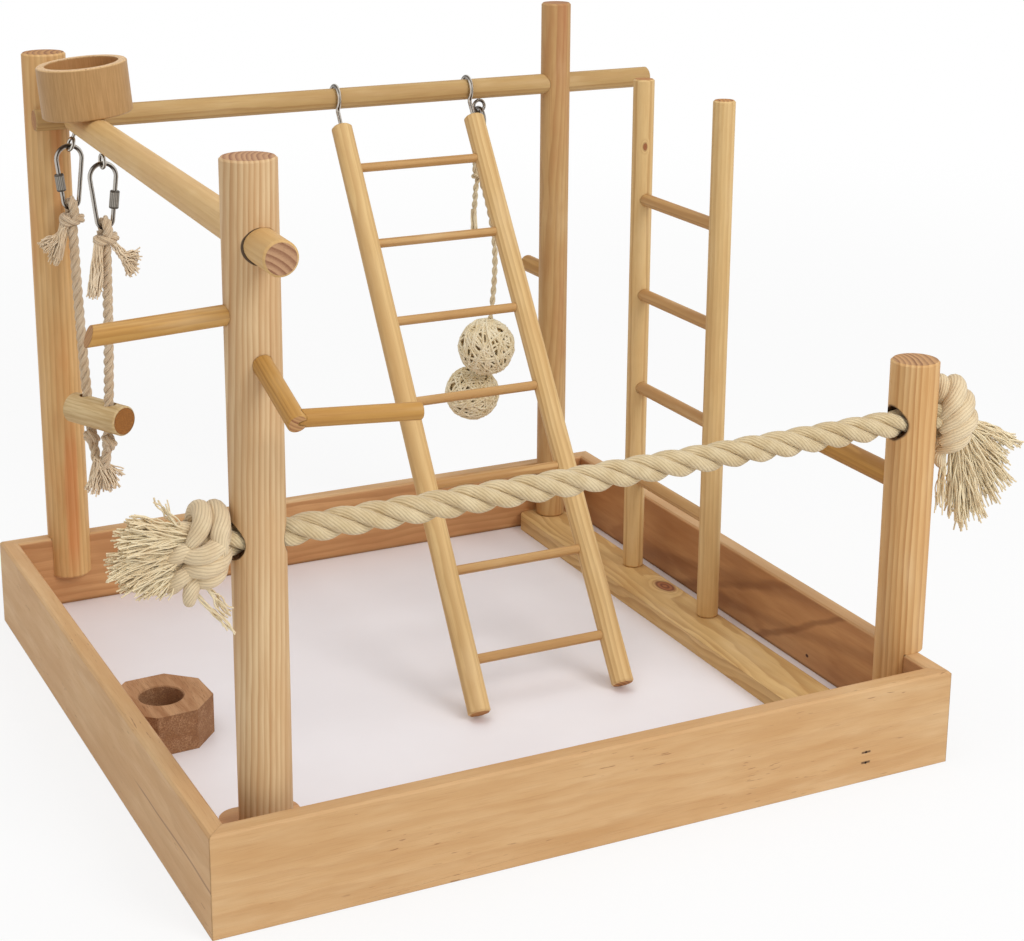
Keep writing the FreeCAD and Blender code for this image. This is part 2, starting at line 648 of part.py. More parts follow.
def swing():
    """Ropes with their loops and knots, the perch, the stopper knots and the tassel."""
    middle, along = swing_perch_line()
    link_along, side = link_axes()
    radius = SWING_PERCH_DIAMETER / 2
    joint = middle - UP * (radius + TASSEL_KNOT_DROP)
    tails = ((REAR_TAIL,), FRONT_TAILS)
    ropes = []
    knots = []
    stoppers = []
    for (eye_point, _), hole_side, its_tails in zip(swing_eyes(), (1, -1), tails):
        ring, bottom = loop(eye_point, side, SWING_ROPE_R)
        knot_middle = bottom - UP * (KNOT_RADIUS - SWING_ROPE_R)
        hole = middle + along * (hole_side * SWING_HOLE_SPACING / 2)
        end = joint + along * (hole_side * (SWING_ROPE_R + LOOP_PLAY))
        below = (end - hole).normalize()
        rope = cord([knot_middle, hole, end], SWING_ROPE_R, "swing rope")
        knot = button(knot_middle, side, KNOT_RADIUS, KNOT_LENGTH, KNOT_ROUND).fuse(ring)
        for tail in its_tails:
            knot = knot.fuse(brush(knot_middle, Vector(*tail), TAIL_RADIUS, TAIL_END_RADIUS))
        stopper = hole + below * (radius + STOPPER_RADIUS + STOPPER_GAP)
        stoppers.append(button(stopper, side, STOPPER_RADIUS, STOPPER_LENGTH, KNOT_ROUND).cut(rope))
        knots.append(knot.removeSplitter().cut(rope))
        ropes.append(rope)
    perch = dowel(middle - along * (SWING_PERCH_LENGTH / 2), middle + along * (SWING_PERCH_LENGTH / 2),
                  radius, POST_EASE)
    top = joint + UP * SWING_TASSEL_RADIUS
    tassel = brush(top, UP * -SWING_TASSEL_LENGTH, SWING_TASSEL_RADIUS, SWING_TASSEL_END)
    for rope in ropes:
        perch = perch.cut(rope)
        tassel = tassel.cut(rope)
    return ropes, Part.makeCompound(knots), perch, Part.makeCompound(stoppers), tassel


# ---- toy ---------------------------------------------------------------------
def toy_point():
    return Vector(REAR_RIGHT.x - TOY_FROM_POST, RAIL_Y, RAIL_Z - RAIL_R - TOY_EYE_DROP)


def toy():
    """The string with its loop, knot and tail, and two woven balls, below its link."""
    point = toy_point()
    narrow = point - UP * LINK_TO_NARROW
    ring, bottom = loop(point, ALONG_Y, STRING_R)
    knot_middle = bottom - UP * (TOY_KNOT_RADIUS - STRING_R)
    upper = Part.makeSphere(UPPER_BALL_DIAMETER / 2, narrow + Vector(*UPPER_BALL), ALONG_Y)
    lower = Part.makeSphere(LOWER_BALL_DIAMETER / 2, narrow + Vector(*LOWER_BALL), ALONG_Y)
    route = [knot_middle] + [narrow + Vector(*p) for p in STRING_POINTS]
    centre = narrow + Vector(*UPPER_BALL)
    inward = (centre - route[-1]).normalize()
    route.append(centre - inward * (UPPER_BALL_DIAMETER / 2 - STRING_HOLE_DEPTH))
    hole = rod(route[-1] + inward * STRING_HOLE_PLAY, route[-1] - inward * UPPER_BALL_DIAMETER,
               STRING_R + STRING_HOLE_PLAY)
    string = cord(route, STRING_R, "toy string")
    knot = button(knot_middle, ALONG_Y, TOY_KNOT_RADIUS, TOY_KNOT_LENGTH, TOY_KNOT_ROUND).fuse(ring)
    knot = knot.fuse(brush(knot_middle, Vector(*TOY_TAIL), STRING_R, TOY_TAIL_END))
    return string, knot.removeSplitter().cut(string), upper.cut(hole), lower


# ---- treat block -------------------------------------------------------------
def treat_block():
    """An eight-sided block with a round well."""
    half = BLOCK_SIDE / 2
    block = box(Vector(-half, -half, 0), Vector(half, half, BLOCK_HEIGHT))
    block = block.makeChamfer(BLOCK_CHAMFER, uprights(block))
    block = block.cut(Part.makeCylinder(BLOCK_BORE / 2, BLOCK_HEIGHT, Vector(0, 0, BLOCK_BOTTOM)))
    rims = [e for e in circles(block) if e.CenterOfMass.z > BLOCK_HEIGHT - 0.01]
    block = block.makeChamfer(BLOCK_EASE, rims)
    place = Vector(LEFT + BOARD_THICK + BLOCK_WALL_GAP + half, FRONT + BLOCK_FROM_FRONT, PANEL_THICK)
    turn = FreeCAD.Rotation(UP, BLOCK_TURN)
    return placed(block, place, turn.multVec(ALONG_X), UP)


# ---- thick rope --------------------------------------------------------------
def rope_crossings():
    """Where the rope's axis crosses the axes of the two front posts."""
    left = FRONT_LEFT + UP * ROPE_Z
    return left, FRONT_RIGHT + UP * (ROPE_Z + ROPE_RISE)


def rope_end(crossing, outward, reach):
    """A knot against the outer side of a post, and the frayed end beyond it."""
    middle = crossing + outward * (POST_R + ROPE_KNOT_GAP + ROPE_KNOT_THICK / 2)
    knot = button(middle, outward, ROPE_KNOT_RADIUS, ROPE_KNOT_THICK, ROPE_KNOT_ROUND)
    return middle, knot.fuse(brush(middle, Vector(*reach), TASSEL_ROOT, TASSEL_END)).removeSplitter()


def thick_rope():
    """The rope from knot to knot, with both its ends."""
    left, right = rope_crossings()
    left_knot, left_end = rope_end(left, ALONG_X * -1, LEFT_TASSEL)
    right_knot, right_end = rope_end(right, ALONG_X, RIGHT_TASSEL)
    lowest = (left + right) * 0.5 - UP * ROPE_SAG
    rope = cord([left_knot, lowest, right_knot], ROPE_R, "thick rope")
    return rope, left_end.cut(rope), right_end.cut(rope)


def rope_hole(crossing):
    reach = ALONG_X * POST_DIAMETER
    return rod(crossing - reach, crossing + reach, ROPE_R + ROPE_HOLE_PLAY)


# ---- all pieces --------------------------------------------------------------
def main():
    os.makedirs("parts", exist_ok=True)

    boards, panel = tray()
    plank = cross_plank()
    pins = plank_pins()
    save(boards[0].cut(pins), "tray_front_board")
    save(boards[1], "tray_right_board")
    save(boards[2], "tray_rear_board")
    save(boards[3], "tray_left_board")
    save(panel, "tray_floor_panel")
    save(plank.cut(pins), "cross_plank")
    save(pins, "plank_pins")

    rail = top_rail()
    rear_left = notched_post(REAR_LEFT, LEFT_POSTS_TOP, ALONG_Y).cut(rail)
    beam = top_beam(rail, rear_left)
    perch_left = left_perch()
    perch_front = front_perch()
    crossbar = front_crossbar(perch_front)
    stub = rear_stub_perch()
    perch_side = side_perch()
    left_crossing, right_crossing = rope_crossings()
    post = dowel(FRONT_LEFT + UP * PANEL_THICK, FRONT_LEFT + UP * LEFT_POSTS_TOP, POST_R, POST_EASE)
    save(front_left_foot().cut(post), "front_left_foot")
    for piece in (beam, perch_left, perch_front, rope_hole(left_crossing)):
        post = post.cut(piece)
    save(post, "front_left_post")
    post = notched_post(FRONT_RIGHT, ROPE_Z + ROPE_RISE + FRONT_RIGHT_ABOVE_ROPE, ALONG_X)
    save(post.cut(perch_side).cut(rope_hole(right_crossing)), "front_right_post")
    save(rear_left, "rear_left_post")
    post = dowel(REAR_RIGHT + UP * PLANK_TOP, REAR_RIGHT + UP * (RAIL_Z + REAR_POST_ABOVE_RAIL),
                 REAR_POST_R, POST_EASE)
    save(post.cut(rail).cut(stub), "rear_right_post")
    save(perch_left, "left_perch")
    save(perch_front, "front_perch")
    save(crossbar, "front_crossbar")
    save(stub, "rear_stub_perch")
    save(perch_side, "side_perch")

    cup_screw = seed_cup_screw()
    save(seed_cup().cut(cup_screw), "seed_cup")
    save(cup_screw, "seed_cup_screw")
    eyes, links, nuts = swing_hardware()
    save(beam.cut(cup_screw).cut(eyes), "top_beam")
    save(eyes, "swing_eyes")
    for i, name in enumerate(("swing_rear", "swing_front")):
        save(links[i], name + "_link")
        save(nuts[i], name + "_link_nut")
    ropes, knots, perch, stoppers, tassel = swing()
    save(ropes[0], "swing_rear_rope")
    save(ropes[1], "swing_front_rope")
    save(knots, "swing_rope_knots")
    save(perch, "swing_perch")
    save(stoppers, "swing_stopper_knots")
    save(tassel, "swing_tassel")

    toy_eye = placed(screw_eye(TOY_EYE_DROP), toy_point(), ALONG_Y, UP)
    save(rail.cut(toy_eye), "top_rail")
    save(toy_eye, "toy_eye")
    save(placed(link(), toy_point(), ALONG_Y * -1, UP), "toy_link")
    save(placed(link_nut(), toy_point(), ALONG_Y * -1, UP), "toy_link_nut")
    string, knot, upper_ball, lower_ball = toy()
    save(string, "toy_string")
    save(knot, "toy_knot")
    save(upper_ball, "toy_upper_ball")
    save(lower_ball, "toy_lower_ball")

    rods, rungs = standing_ladder()
    save(rods[0], "standing_ladder_rear_rod")
    save(rods[1], "standing_ladder_front_rod")
    for i, piece in enumerate(rungs):
        save(piece, "standing_ladder_rung_" + str(i + 1))
    rods, rungs, hooks = hanging_ladder()
    save(rods[0], "hanging_ladder_left_rod")
    save(rods[1], "hanging_ladder_right_rod")
    for i, piece in enumerate(rungs):
        save(piece, "hanging_ladder_rung_" + str(i + 1))
    save(hooks[0], "ladder_left_hook")
    save(hooks[1], "ladder_right_hook")

    save(treat_block(), "treat_block")
    rope, left_end, right_end = thick_rope()
    save(rope, "thick_rope")
    save(left_end, "rope_left_end")
    save(right_end, "rope_right_end")


main()
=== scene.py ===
"""Looks of a parrot play stand: wood, steel, laid cotton ropes and woven vine balls.
Lengths in the tables are millimetres; everything handed to Blender is in metres."""

import math
import random

import bmesh
import bpy
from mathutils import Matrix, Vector


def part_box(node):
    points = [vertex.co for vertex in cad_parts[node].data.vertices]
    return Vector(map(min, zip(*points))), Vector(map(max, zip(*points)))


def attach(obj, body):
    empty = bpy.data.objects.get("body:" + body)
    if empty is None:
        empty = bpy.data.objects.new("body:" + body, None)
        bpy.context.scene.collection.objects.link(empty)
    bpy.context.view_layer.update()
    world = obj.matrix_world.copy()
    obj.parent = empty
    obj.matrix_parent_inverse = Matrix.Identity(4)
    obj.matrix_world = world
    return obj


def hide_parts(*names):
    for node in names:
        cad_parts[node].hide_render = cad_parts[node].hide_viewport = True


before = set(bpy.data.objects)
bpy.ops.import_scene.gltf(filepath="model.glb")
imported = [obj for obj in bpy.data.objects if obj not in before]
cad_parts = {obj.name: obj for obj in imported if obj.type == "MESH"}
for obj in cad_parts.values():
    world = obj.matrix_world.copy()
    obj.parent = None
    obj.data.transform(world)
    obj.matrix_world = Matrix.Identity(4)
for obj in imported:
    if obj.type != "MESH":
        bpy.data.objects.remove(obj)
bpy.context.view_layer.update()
MM = 0.001
TURN = 2 * math.pi
UP = Vector((0, 0, 1))
ALONG_X = Vector((1, 0, 0))
ALONG_Y = Vector((0, 1, 0))
chance = random.Random(5)

# the tray's inside, from its middle to its walls, and the top of its floor panel
INNER_X, INNER_Y = 228.0, 223.0
PANEL_TOP = 10.0


def metres(*place):
    """A place given in millimetres."""
    return Vector(place) * MM


# ---- shader sums --------------------------------------------------------------
def tint(red, green, blue):
    """A shader colour from the 0-255 values it has on a screen."""
    return tuple(((c / 255 + 0.055) / 1.055) ** 2.4 for c in (red, green, blue)) + (1.0,)


def sum_of(operation, swapped=False):
    """A method that makes this sum of a Shade and a number or another Shade."""
    def work(self, other):
        return self.nodes.maths(operation, *((other, self) if swapped else (self, other)))
    return work


class Shade:
    """A shader socket that takes part in Python sums."""

    def __init__(self, nodes, socket):
        self.nodes = nodes
        self.socket = socket

    __add__ = __radd__ = sum_of("ADD")
    __sub__ = sum_of("SUBTRACT")
    __rsub__ = sum_of("SUBTRACT", True)
    __mul__ = sum_of("MULTIPLY")
    __truediv__ = sum_of("DIVIDE")


class Nodes:
    """A node tree and the ways to add to it."""

    def __init__(self, tree):
        self.tree = tree

    def node(self, kind, settings=None, inputs=None, output=0):
        """Adds a node and gives one of its outputs, or a list of those in a tuple."""
        made = self.tree.nodes.new("ShaderNode" + kind)
        for name, value in (settings or {}).items():
            setattr(made, name, value)
        for name, value in (inputs or {}).items():
            self.feed(made.inputs[name], value)
        if isinstance(output, tuple):
            return [Shade(self, made.outputs[each]) for each in output]
        return Shade(self, made.outputs[output])

    def feed(self, socket, value):
        """Links a Shade to a socket, or sets the socket to a value."""
        if isinstance(value, Shade):
            self.tree.links.new(value.socket, socket)
        else:
            socket.default_value = value

    def maths(self, operation, *values):
        return self.node("Math", {"operation": operation}, dict(enumerate(values)))

    def size_of(self, value):
        """The value without its sign."""
        return self.maths("ABSOLUTE", value)

    def radius(self, x, y):
        """How far x, y is from the middle."""
        return self.maths("SQRT", x * x + y * y)

    def soft(self, value, low, high):
        """0 below low, 1 above high and smooth between them."""
        return self.node("MapRange", {"interpolation_type": "SMOOTHSTEP"},
                         {"Value": value, "From Min": low, "From Max": high})

    def noise(self, x, y, z, detail=2.0, roughness=0.5):
        place = self.node("CombineXYZ", {}, {0: x, 1: y, 2: z})
        return self.node("TexNoise", {}, {"Vector": place, "Scale": 1.0, "Detail": detail,
                                          "Roughness": roughness})

    def mix(self, factor, first, second):
        """The first colour where the factor is 0 and the second where it is 1."""
        return self.node("Mix", {"data_type": "RGBA"}, {0: factor, 6: first, 7: second}, 2)

    def place(self, along=UP, middle=Vector((0, 0, 0))):
        """Millimetres from the middle: two across the grain, and one along it."""
        turn = Vector(along).rotation_difference(UP)
        moved = self.node("Mapping", {}, {
            "Vector": self.node("TexCoord", output="Object"), "Scale": (1000, 1000, 1000),
            "Location": -(turn @ Vector(middle)) / MM, "Rotation": turn.to_euler()})
        return self.node("SeparateXYZ", {}, {0: moved}, (0, 1, 2))

    def facing(self, along):
        """How squarely the surface faces along a direction, either way."""
        towards = tuple(Vector(along).normalized())
        return self.size_of(self.node("VectorMath", {"operation": "DOT_PRODUCT"}, {
            0: self.node("TexCoord", output="Normal"), 1: towards}, 1))


class Finish(Nodes):
    """One material and its nodes."""

    def __init__(self, name, **uniform):
        self.material = bpy.data.materials.new(name)
        self.material.use_nodes = True
        super().__init__(self.material.node_tree)
        self.skin = self.tree.nodes["Principled BSDF"]
        for socket, value in uniform.items():
            self.skin.inputs[socket.replace("_", " ")].default_value = value

    def done(self, colour, roughness, height, depth, edge=0.0):
        """Sets colour, roughness and bump; depth and edge are in millimetres."""
        self.feed(self.skin.inputs["Base Color"], colour)
        self.feed(self.skin.inputs["Roughness"], roughness)
        bump = {"Height": height, "Strength": 1.0, "Distance": depth * MM}
        if edge:
            bump["Normal"] = self.node("Bevel", {"samples": 4}, {"Radius": edge * MM})
        self.feed(self.skin.inputs["Normal"], self.node("Bump", {}, bump))
        return self.material


# ---- wood ---------------------------------------------------------------------
def palette(*colours):
    """Early wood, late wood, streaks, and the early and late wood of a cut end."""
    return [tint(*colour) for colour in colours]


TRAY = palette((208, 167, 118), (180, 132, 82), (194, 147, 94), (176, 126, 78), (126, 80, 44))
WALL = palette((207, 157, 106), (172, 119, 73), (188, 135, 87), (178, 127, 80), (126, 81, 46))
ROSY = palette((216, 184, 140), (180, 134, 86), (200, 158, 110), (190, 146, 106), (134, 88, 58))
HONEY = palette((218, 176, 120), (172, 118, 64), (204, 152, 92), (198, 152, 104), (112, 68, 40))
AMBER = palette((218, 176, 118), (184, 134, 76), (204, 142, 82), (186, 136, 84), (122, 74, 40))
RUDDY = palette((197, 158, 104), (163, 116, 67), (177, 120, 74), (180, 130, 84), (116, 72, 42))
BEAM = palette((212, 174, 116), (190, 148, 90), (200, 156, 98), (188, 146, 110), (126, 80, 54))
RAIL = palette((191, 156, 101), (159, 118, 67), (175, 135, 82), (190, 140, 90), (128, 80, 44))
ROD = palette((219, 185, 128), (184, 141, 86), (204, 162, 104), (192, 136, 76), (128, 76, 38))
YELLOW = palette((189, 141, 70), (152, 104, 44), (170, 118, 54), (190, 144, 94), (136, 82, 50))
RUNG = palette((196, 154, 98), (166, 120, 70), (180, 134, 80), (150, 102, 60), (110, 70, 40))
PLANK = palette((212, 176, 118), (166, 120, 64), (194, 148, 86), (190, 140, 88), (130, 84, 46))


def middle_of(node):
    low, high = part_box(node)
    return (low + high) / 2


def tray_walls(finish, colour, marks, grain):
    """The inner side of a tray board, its tone deepened partly as another face of the pine and
    partly as painted shade, with its marks and painted shade along its lower edge.
    slants are bands: slope, level, spread and strength. dot is a place on the wall.
    grain_line is a dark line: its level and where it starts and ends."""
    late, fibre, mottle, sway, ripple = grain
    x, y, z = finish.place()
    walls = (1 - finish.soft(finish.size_of(x), INNER_X + 0.3, INNER_X + 0.6)) \
        * (1 - finish.soft(finish.size_of(y), INNER_Y + 0.3, INNER_Y + 0.6))
    # the inner faces get a deeper tone: partly another face of the pine, partly painted shade
    inner_tone_and_shade = finish.mix(finish.soft(mottle, 0.3, 0.7), WALL[0], WALL[2])
    inner_tone_and_shade = finish.mix(late * 0.65, inner_tone_and_shade, WALL[1])
    inner_tone_and_shade = finish.mix(finish.soft(fibre, 0.45, 0.75) * 0.3, inner_tone_and_shade, WALL[1])
    for slope, level, spread, part in marks.get("slants", ()):
        band = finish.size_of(z + y * slope - level + sway * 9 + ripple * 7)
        inner_tone_and_shade = finish.mix(finish.soft(band, spread, 0.8) * part, inner_tone_and_shade, tint(122, 74, 44))
    if "dot" in marks:
        dot_y, dot_z = marks["dot"]
        off_y, off_z = y - dot_y, z - dot_z
        off = finish.maths("SQRT", off_y * off_y * 0.5 + off_z * off_z)
        inner_tone_and_shade = finish.mix(finish.soft(off, 1.5, 0.8), inner_tone_and_shade, tint(74, 42, 26))
    colour = finish.mix(walls, colour, inner_tone_and_shade)
    if "grain_line" in marks:
        level, first, last = marks["grain_line"]
        line = finish.soft(finish.size_of(z - level + sway * 5 + ripple * 1.5), 1.3, 0.2)
        line = line * finish.soft(y, last, last - 30) * finish.soft(y, first, first + 20)
        colour = finish.mix(line * 0.6, colour, tint(120, 74, 42))
    if "pins" in marks:
        low, high = (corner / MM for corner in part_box("plank_pins"))
        for level in (low.z + 0.9, high.z - 0.9):
            dent = finish.soft(finish.size_of(z - level + ripple), 0.9, 0.5) \
                * finish.soft(finish.size_of(x - (low.x + high.x) / 2), 3.8, 2.6)
            colour = finish.mix(dent * 0.85, colour, tint(74, 48, 30))
    # painted shade in the corner where the inner walls meet the floor panel
    corner = finish.soft(z, PANEL_TOP + 2.5, PANEL_TOP + 0.2) * walls
    return finish.mix(corner * 0.6, colour, tint(90, 58, 34))


def wood(name, along, middle, heart, ring, colours, wave=2.0, contrast=0.75, taper=0.0,
         seed=0.0, marks=None):
    """Sawn or turned softwood. heart is where the growth rings' centre lies, across the
    grain from the middle, and ring is their spacing. marks adds what is this piece's own:
    knot is a place and a size; streaks are low and high, first and last, a colour and a
    strength; bores are the scorched rims of holes: axis, centre, radius and reach."""
    early, late_wood, streak, end_early, end_late = colours
    marks = marks or {}
    finish = Finish(name, Specular_IOR_Level=0.35)
    x, y, z = finish.place(along, middle)
    sway = finish.noise(x / 34, y / 34, z / 130 + seed) - 0.5
    ripple = finish.noise(x / 9, y / 9, z / 38 + seed + 3) - 0.5
    from_heart = finish.radius(x - heart[0], y - heart[1])
    rings = (from_heart + sway * (wave * 4) + ripple * wave + z * taper) / ring + seed
    if "knot" in marks:
        knot_x, knot_z, size = marks["knot"]
        off_x, off_z = x - knot_x, z - knot_z
        away = finish.maths("SQRT", off_x * off_x + off_z * off_z * 0.3)
        near = 1 - finish.soft(away, 0, size * 2.6)
        rings = rings + near * near * 4
    rings = rings + finish.noise(rings * 0.23, seed, 0.5, 1.0) * 1.6
    share = finish.maths("FRACT", rings)
    which = finish.node("TexWhiteNoise", {"noise_dimensions": "1D"},
                        {"W": finish.maths("FLOOR", rings) + seed})
    late = finish.soft(share, 0.15, 0.88) * (1 - finish.soft(share, 0.9, 1.0)) \
        * (which * 0.55 + 0.45)
    fibre = finish.noise(x * 1.5, y * 1.5, z * 0.035 + seed, 3.0)
    hair = finish.noise(x * 4.5, y * 4.5, z * 0.11 + seed, 1.0)
    mottle = finish.noise(x / 13, y / 13, z / 80 + seed + 9, 3.0, 0.6)
    colour = finish.mix(late * contrast, early, late_wood)
    colour = finish.mix(finish.soft(mottle, 0.42, 0.72) * 0.55, colour, streak)
    colour = finish.mix(finish.soft(fibre, 0.5, 0.78) * 0.4, colour, late_wood)
    colour = finish.mix(finish.soft(hair, 0.6, 0.8) * 0.3, colour, end_early)
    colour = finish.mix(finish.soft(mottle, 0.5, 0.2) * 0.25, colour, tint(240, 214, 170))
    if "knot" in marks:
        core = finish.soft(away + ripple * size * 0.3, size, size * 0.55)
        swirl = finish.maths("SINE", away * 2.2) * 0.5 + 0.5
        colour = finish.mix(core, colour, finish.mix(swirl, tint(112, 60, 34), tint(158, 98, 58)))
    for low, high, first, last, shade, part in marks.get("streaks", ()):
        across = x + sway * 10 + ripple * 2
        band = finish.soft(across, low, low + 3) * (1 - finish.soft(across, high - 3, high))
        band = band * finish.soft(z, first, first + 40) * (1 - finish.soft(z, last - 40, last))
        colour = finish.mix(band * (fibre * 0.4 + 0.6) * part, colour, shade)
    for axis, centre, bore, reach in marks.get("bores", ()):
        across = finish.place(axis, metres(*centre))
        off = finish.radius(across[0], across[1])
        scorch = finish.soft(off + ripple * 1.8, bore + reach, bore)
        colour = finish.mix(scorch * 0.9, colour, tint(50, 32, 20))
    if "dashes" in marks:
        grain = finish.noise(x * 0.9, y * 0.9, z * 0.09 + seed, 1.0)
        patch = finish.soft(finish.noise(x / 22, y / 22, z / 90 + seed, 1.0), 0.5, 0.62)
        colour = finish.mix(finish.soft(grain, 0.7, 0.76) * patch * 0.6, colour, end_late)
    if "inside" in marks:
        colour = tray_walls(finish, colour, marks, (late, fibre, mottle, sway, ripple))
    end = finish.soft(finish.facing(along), 0.72, 0.9)
    pores = finish.noise(x * 2.4, y * 2.4, z * 2.4, 2.0)
    sawn = finish.mix(late * 0.9 + finish.soft(pores, 0.5, 0.75) * 0.35, end_early, end_late)
    colour = finish.mix(end, colour, sawn)
    height = late * 0.5 + fibre * 0.7 + hair * 0.35 + end * pores * 0.8
    return finish.done(colour, 0.5 + fibre * 0.16 + end * 0.15, height, depth=0.12, edge=0.9)


def dress_node(node, material):
    """Gives a CAD node its finish."""
    for slot in bpy.data.objects[node].material_slots:
        slot.material = material


LADDER_UP = Vector((0.050284, 0.634648, 0.771164))
LEFT_BORE = (ALONG_X, (0, -196, 207.5), 10.3, 0.7)
RIGHT_BORE = (ALONG_X, (0, -189, 211.5), 10.3, 1.5)
BEAM_BORE = (ALONG_Y, (-194.5, 0, 367.2), 9.5, 0.45)
DARK_SLANTS = ((0.52, -10.8, 4.0, 0.5), (0.36, 33.6, 5.0, 0.4), (0.2, 40.0, 8.0, 0.35),
               (0.14, 20.0, 6.0, 0.3))
RESIN_STREAKS = ((-7, 5, -200, -60, tint(206, 112, 54), 0.6),
                 (-4, 7, 60, 200, tint(208, 128, 76), 0.4))
RED_STREAK = (-6, 6, 120, 240, tint(168, 92, 58), 0.4)
WOODEN = {
    # node: grain direction, heart, ring spacing, colours, more
    "tray_front_board": (ALONG_X, (60, -30), 10.0, TRAY, dict(
        wave=6.0, seed=1.3, contrast=0.3, marks={"inside": True, "dashes": True, "pins": True})),
    "tray_right_board": (ALONG_Y, (70, 12), 12.0, TRAY, dict(
        wave=6.0, seed=4.1, contrast=0.5,
        marks={"inside": True, "dot": (-99.8, 18.5), "slants": DARK_SLANTS})),
    "tray_rear_board": (ALONG_X, (-70, 14), 7.0, TRAY, dict(
        wave=3.6, seed=7.7, contrast=0.5, marks={"inside": True})),
    "tray_left_board": (ALONG_Y, (-60, -22), 9.0, TRAY, dict(
        wave=5.0, seed=2.9, contrast=0.3,
        marks={"inside": True, "dashes": True, "grain_line": (28.5, -250, -88)})),
    "cross_plank": (ALONG_Y, (16, 30), 4.8, PLANK, dict(
        wave=4.6, seed=5.2, taper=0.03, contrast=0.65, marks={"knot": (10.5, 40, 7.5)})),
    "front_left_foot": (ALONG_X, (30, 30), 3.0, WALL, dict(seed=3.0)),
    "front_left_post": (UP, (38, -17), 3.1, ROSY, dict(
        wave=0.9, seed=6.4, contrast=0.85, taper=0.03, marks={"bores": (LEFT_BORE, BEAM_BORE)})),
    "front_right_post": (UP, (-40, 14), 3.8, HONEY, dict(
        wave=1.0, seed=8.2, contrast=0.95, marks={"bores": (RIGHT_BORE,)})),
    "rear_left_post": (UP, (34, -12), 3.8, AMBER, dict(
        wave=1.0, seed=1.9, contrast=0.6, marks={"streaks": RESIN_STREAKS})),
    "rear_right_post": (UP, (22, 6), 3.0, RUDDY, dict(
        wave=1.5, seed=3.7, taper=0.02, contrast=0.55, marks={"streaks": (RED_STREAK,)})),
    "top_beam": (Vector((15.5, 453, 0)), (-20, 26), 3.2, BEAM, dict(
        wave=0.5, seed=9.4, contrast=0.4)),
    "top_rail": (ALONG_X, (16, 26), 2.6, RAIL, dict(wave=0.9, seed=2.2, contrast=0.7)),
    "left_perch": (Vector((-71, 0, -3)), (14, 18), 2.0, YELLOW, dict(
        wave=0.8, seed=4.4, contrast=0.7)),
    "front_perch": (Vector((0, -48, -17)), (10, 20), 2.0, YELLOW, dict(
        wave=0.8, seed=6.1, contrast=0.7)),
    "front_crossbar": (Vector((66, -6, -3)), (12, 15), 2.1, YELLOW, dict(
        wave=0.7, seed=7.3, contrast=0.6)),
    "rear_stub_perch": (ALONG_Y, (12, 14), 2.2, YELLOW, dict(wave=0.7, seed=1.1)),
    "side_perch": (ALONG_Y, (10, 22), 2.4, YELLOW, dict(wave=1.0, seed=5.9, contrast=0.8)),
    "standing_ladder_rear_rod": (UP, (14, 22), 2.8, ROD, dict(
        wave=1.0, seed=3.3, marks={"knot": (-2, 135.5, 1.9)})),
    "standing_ladder_front_rod": (UP, (-22, 10), 3.1, ROD, dict(
        wave=0.9, seed=8.8, contrast=0.5)),
    "hanging_ladder_left_rod": (LADDER_UP, (20, 14), 2.7, ROD, dict(wave=1.0, seed=6.6)),
    "hanging_ladder_right_rod": (LADDER_UP, (-20, 18), 2.9, ROD, dict(wave=0.9, seed=2.6)),
}
for each in range(1, 5):
    WOODEN["standing_ladder_rung_%d" % each] = (
        ALONG_Y, (8, 9 + each), 1.9, RUNG, dict(wave=0.5, seed=each * 1.7))
for each in range(1, 8):
    WOODEN["hanging_ladder_rung_%d" % each] = (
        ALONG_X, (7, 8 + each), 1.8, RUNG, dict(wave=0.5, seed=each * 2.3 + 11))
for node, (along, heart, ring, colours, more) in WOODEN.items():
    dress_node(node, wood(node + "_wood", along, middle_of(node), heart, ring, colours, **more))


def white_panel():
    """The white faced floor panel, with painted shade along its edges where the walls stand over
    it.
    """
    finish = Finish("white_laminate", Specular_IOR_Level=0.4)
    x, y, z = finish.place()
    cloud = finish.noise(x / 70, y / 70, z, 3.0)
    speck = finish.noise(x * 0.9, y * 0.9, z, 2.0)
    colour = finish.mix(cloud, tint(232, 226, 228), tint(241, 237, 239))
    colour = finish.mix(finish.soft(speck, 0.68, 0.82) * 0.25, colour, tint(196, 186, 184))
    # painted shade along the walls' feet, where the panel meets them
    wall_edge_shade = finish.maths("MAXIMUM", finish.soft(finish.size_of(x), INNER_X - 4, INNER_X + 1),
                       finish.soft(finish.size_of(y), INNER_Y - 4, INNER_Y + 1))
    colour = finish.mix(wall_edge_shade * 0.35, colour, tint(176, 160, 150))
    return finish.done(colour, 0.38 + cloud * 0.16, speck, depth=0.02, edge=0.5)


CUP_BORE, CUP_HEIGHT = 24.4, 34.0


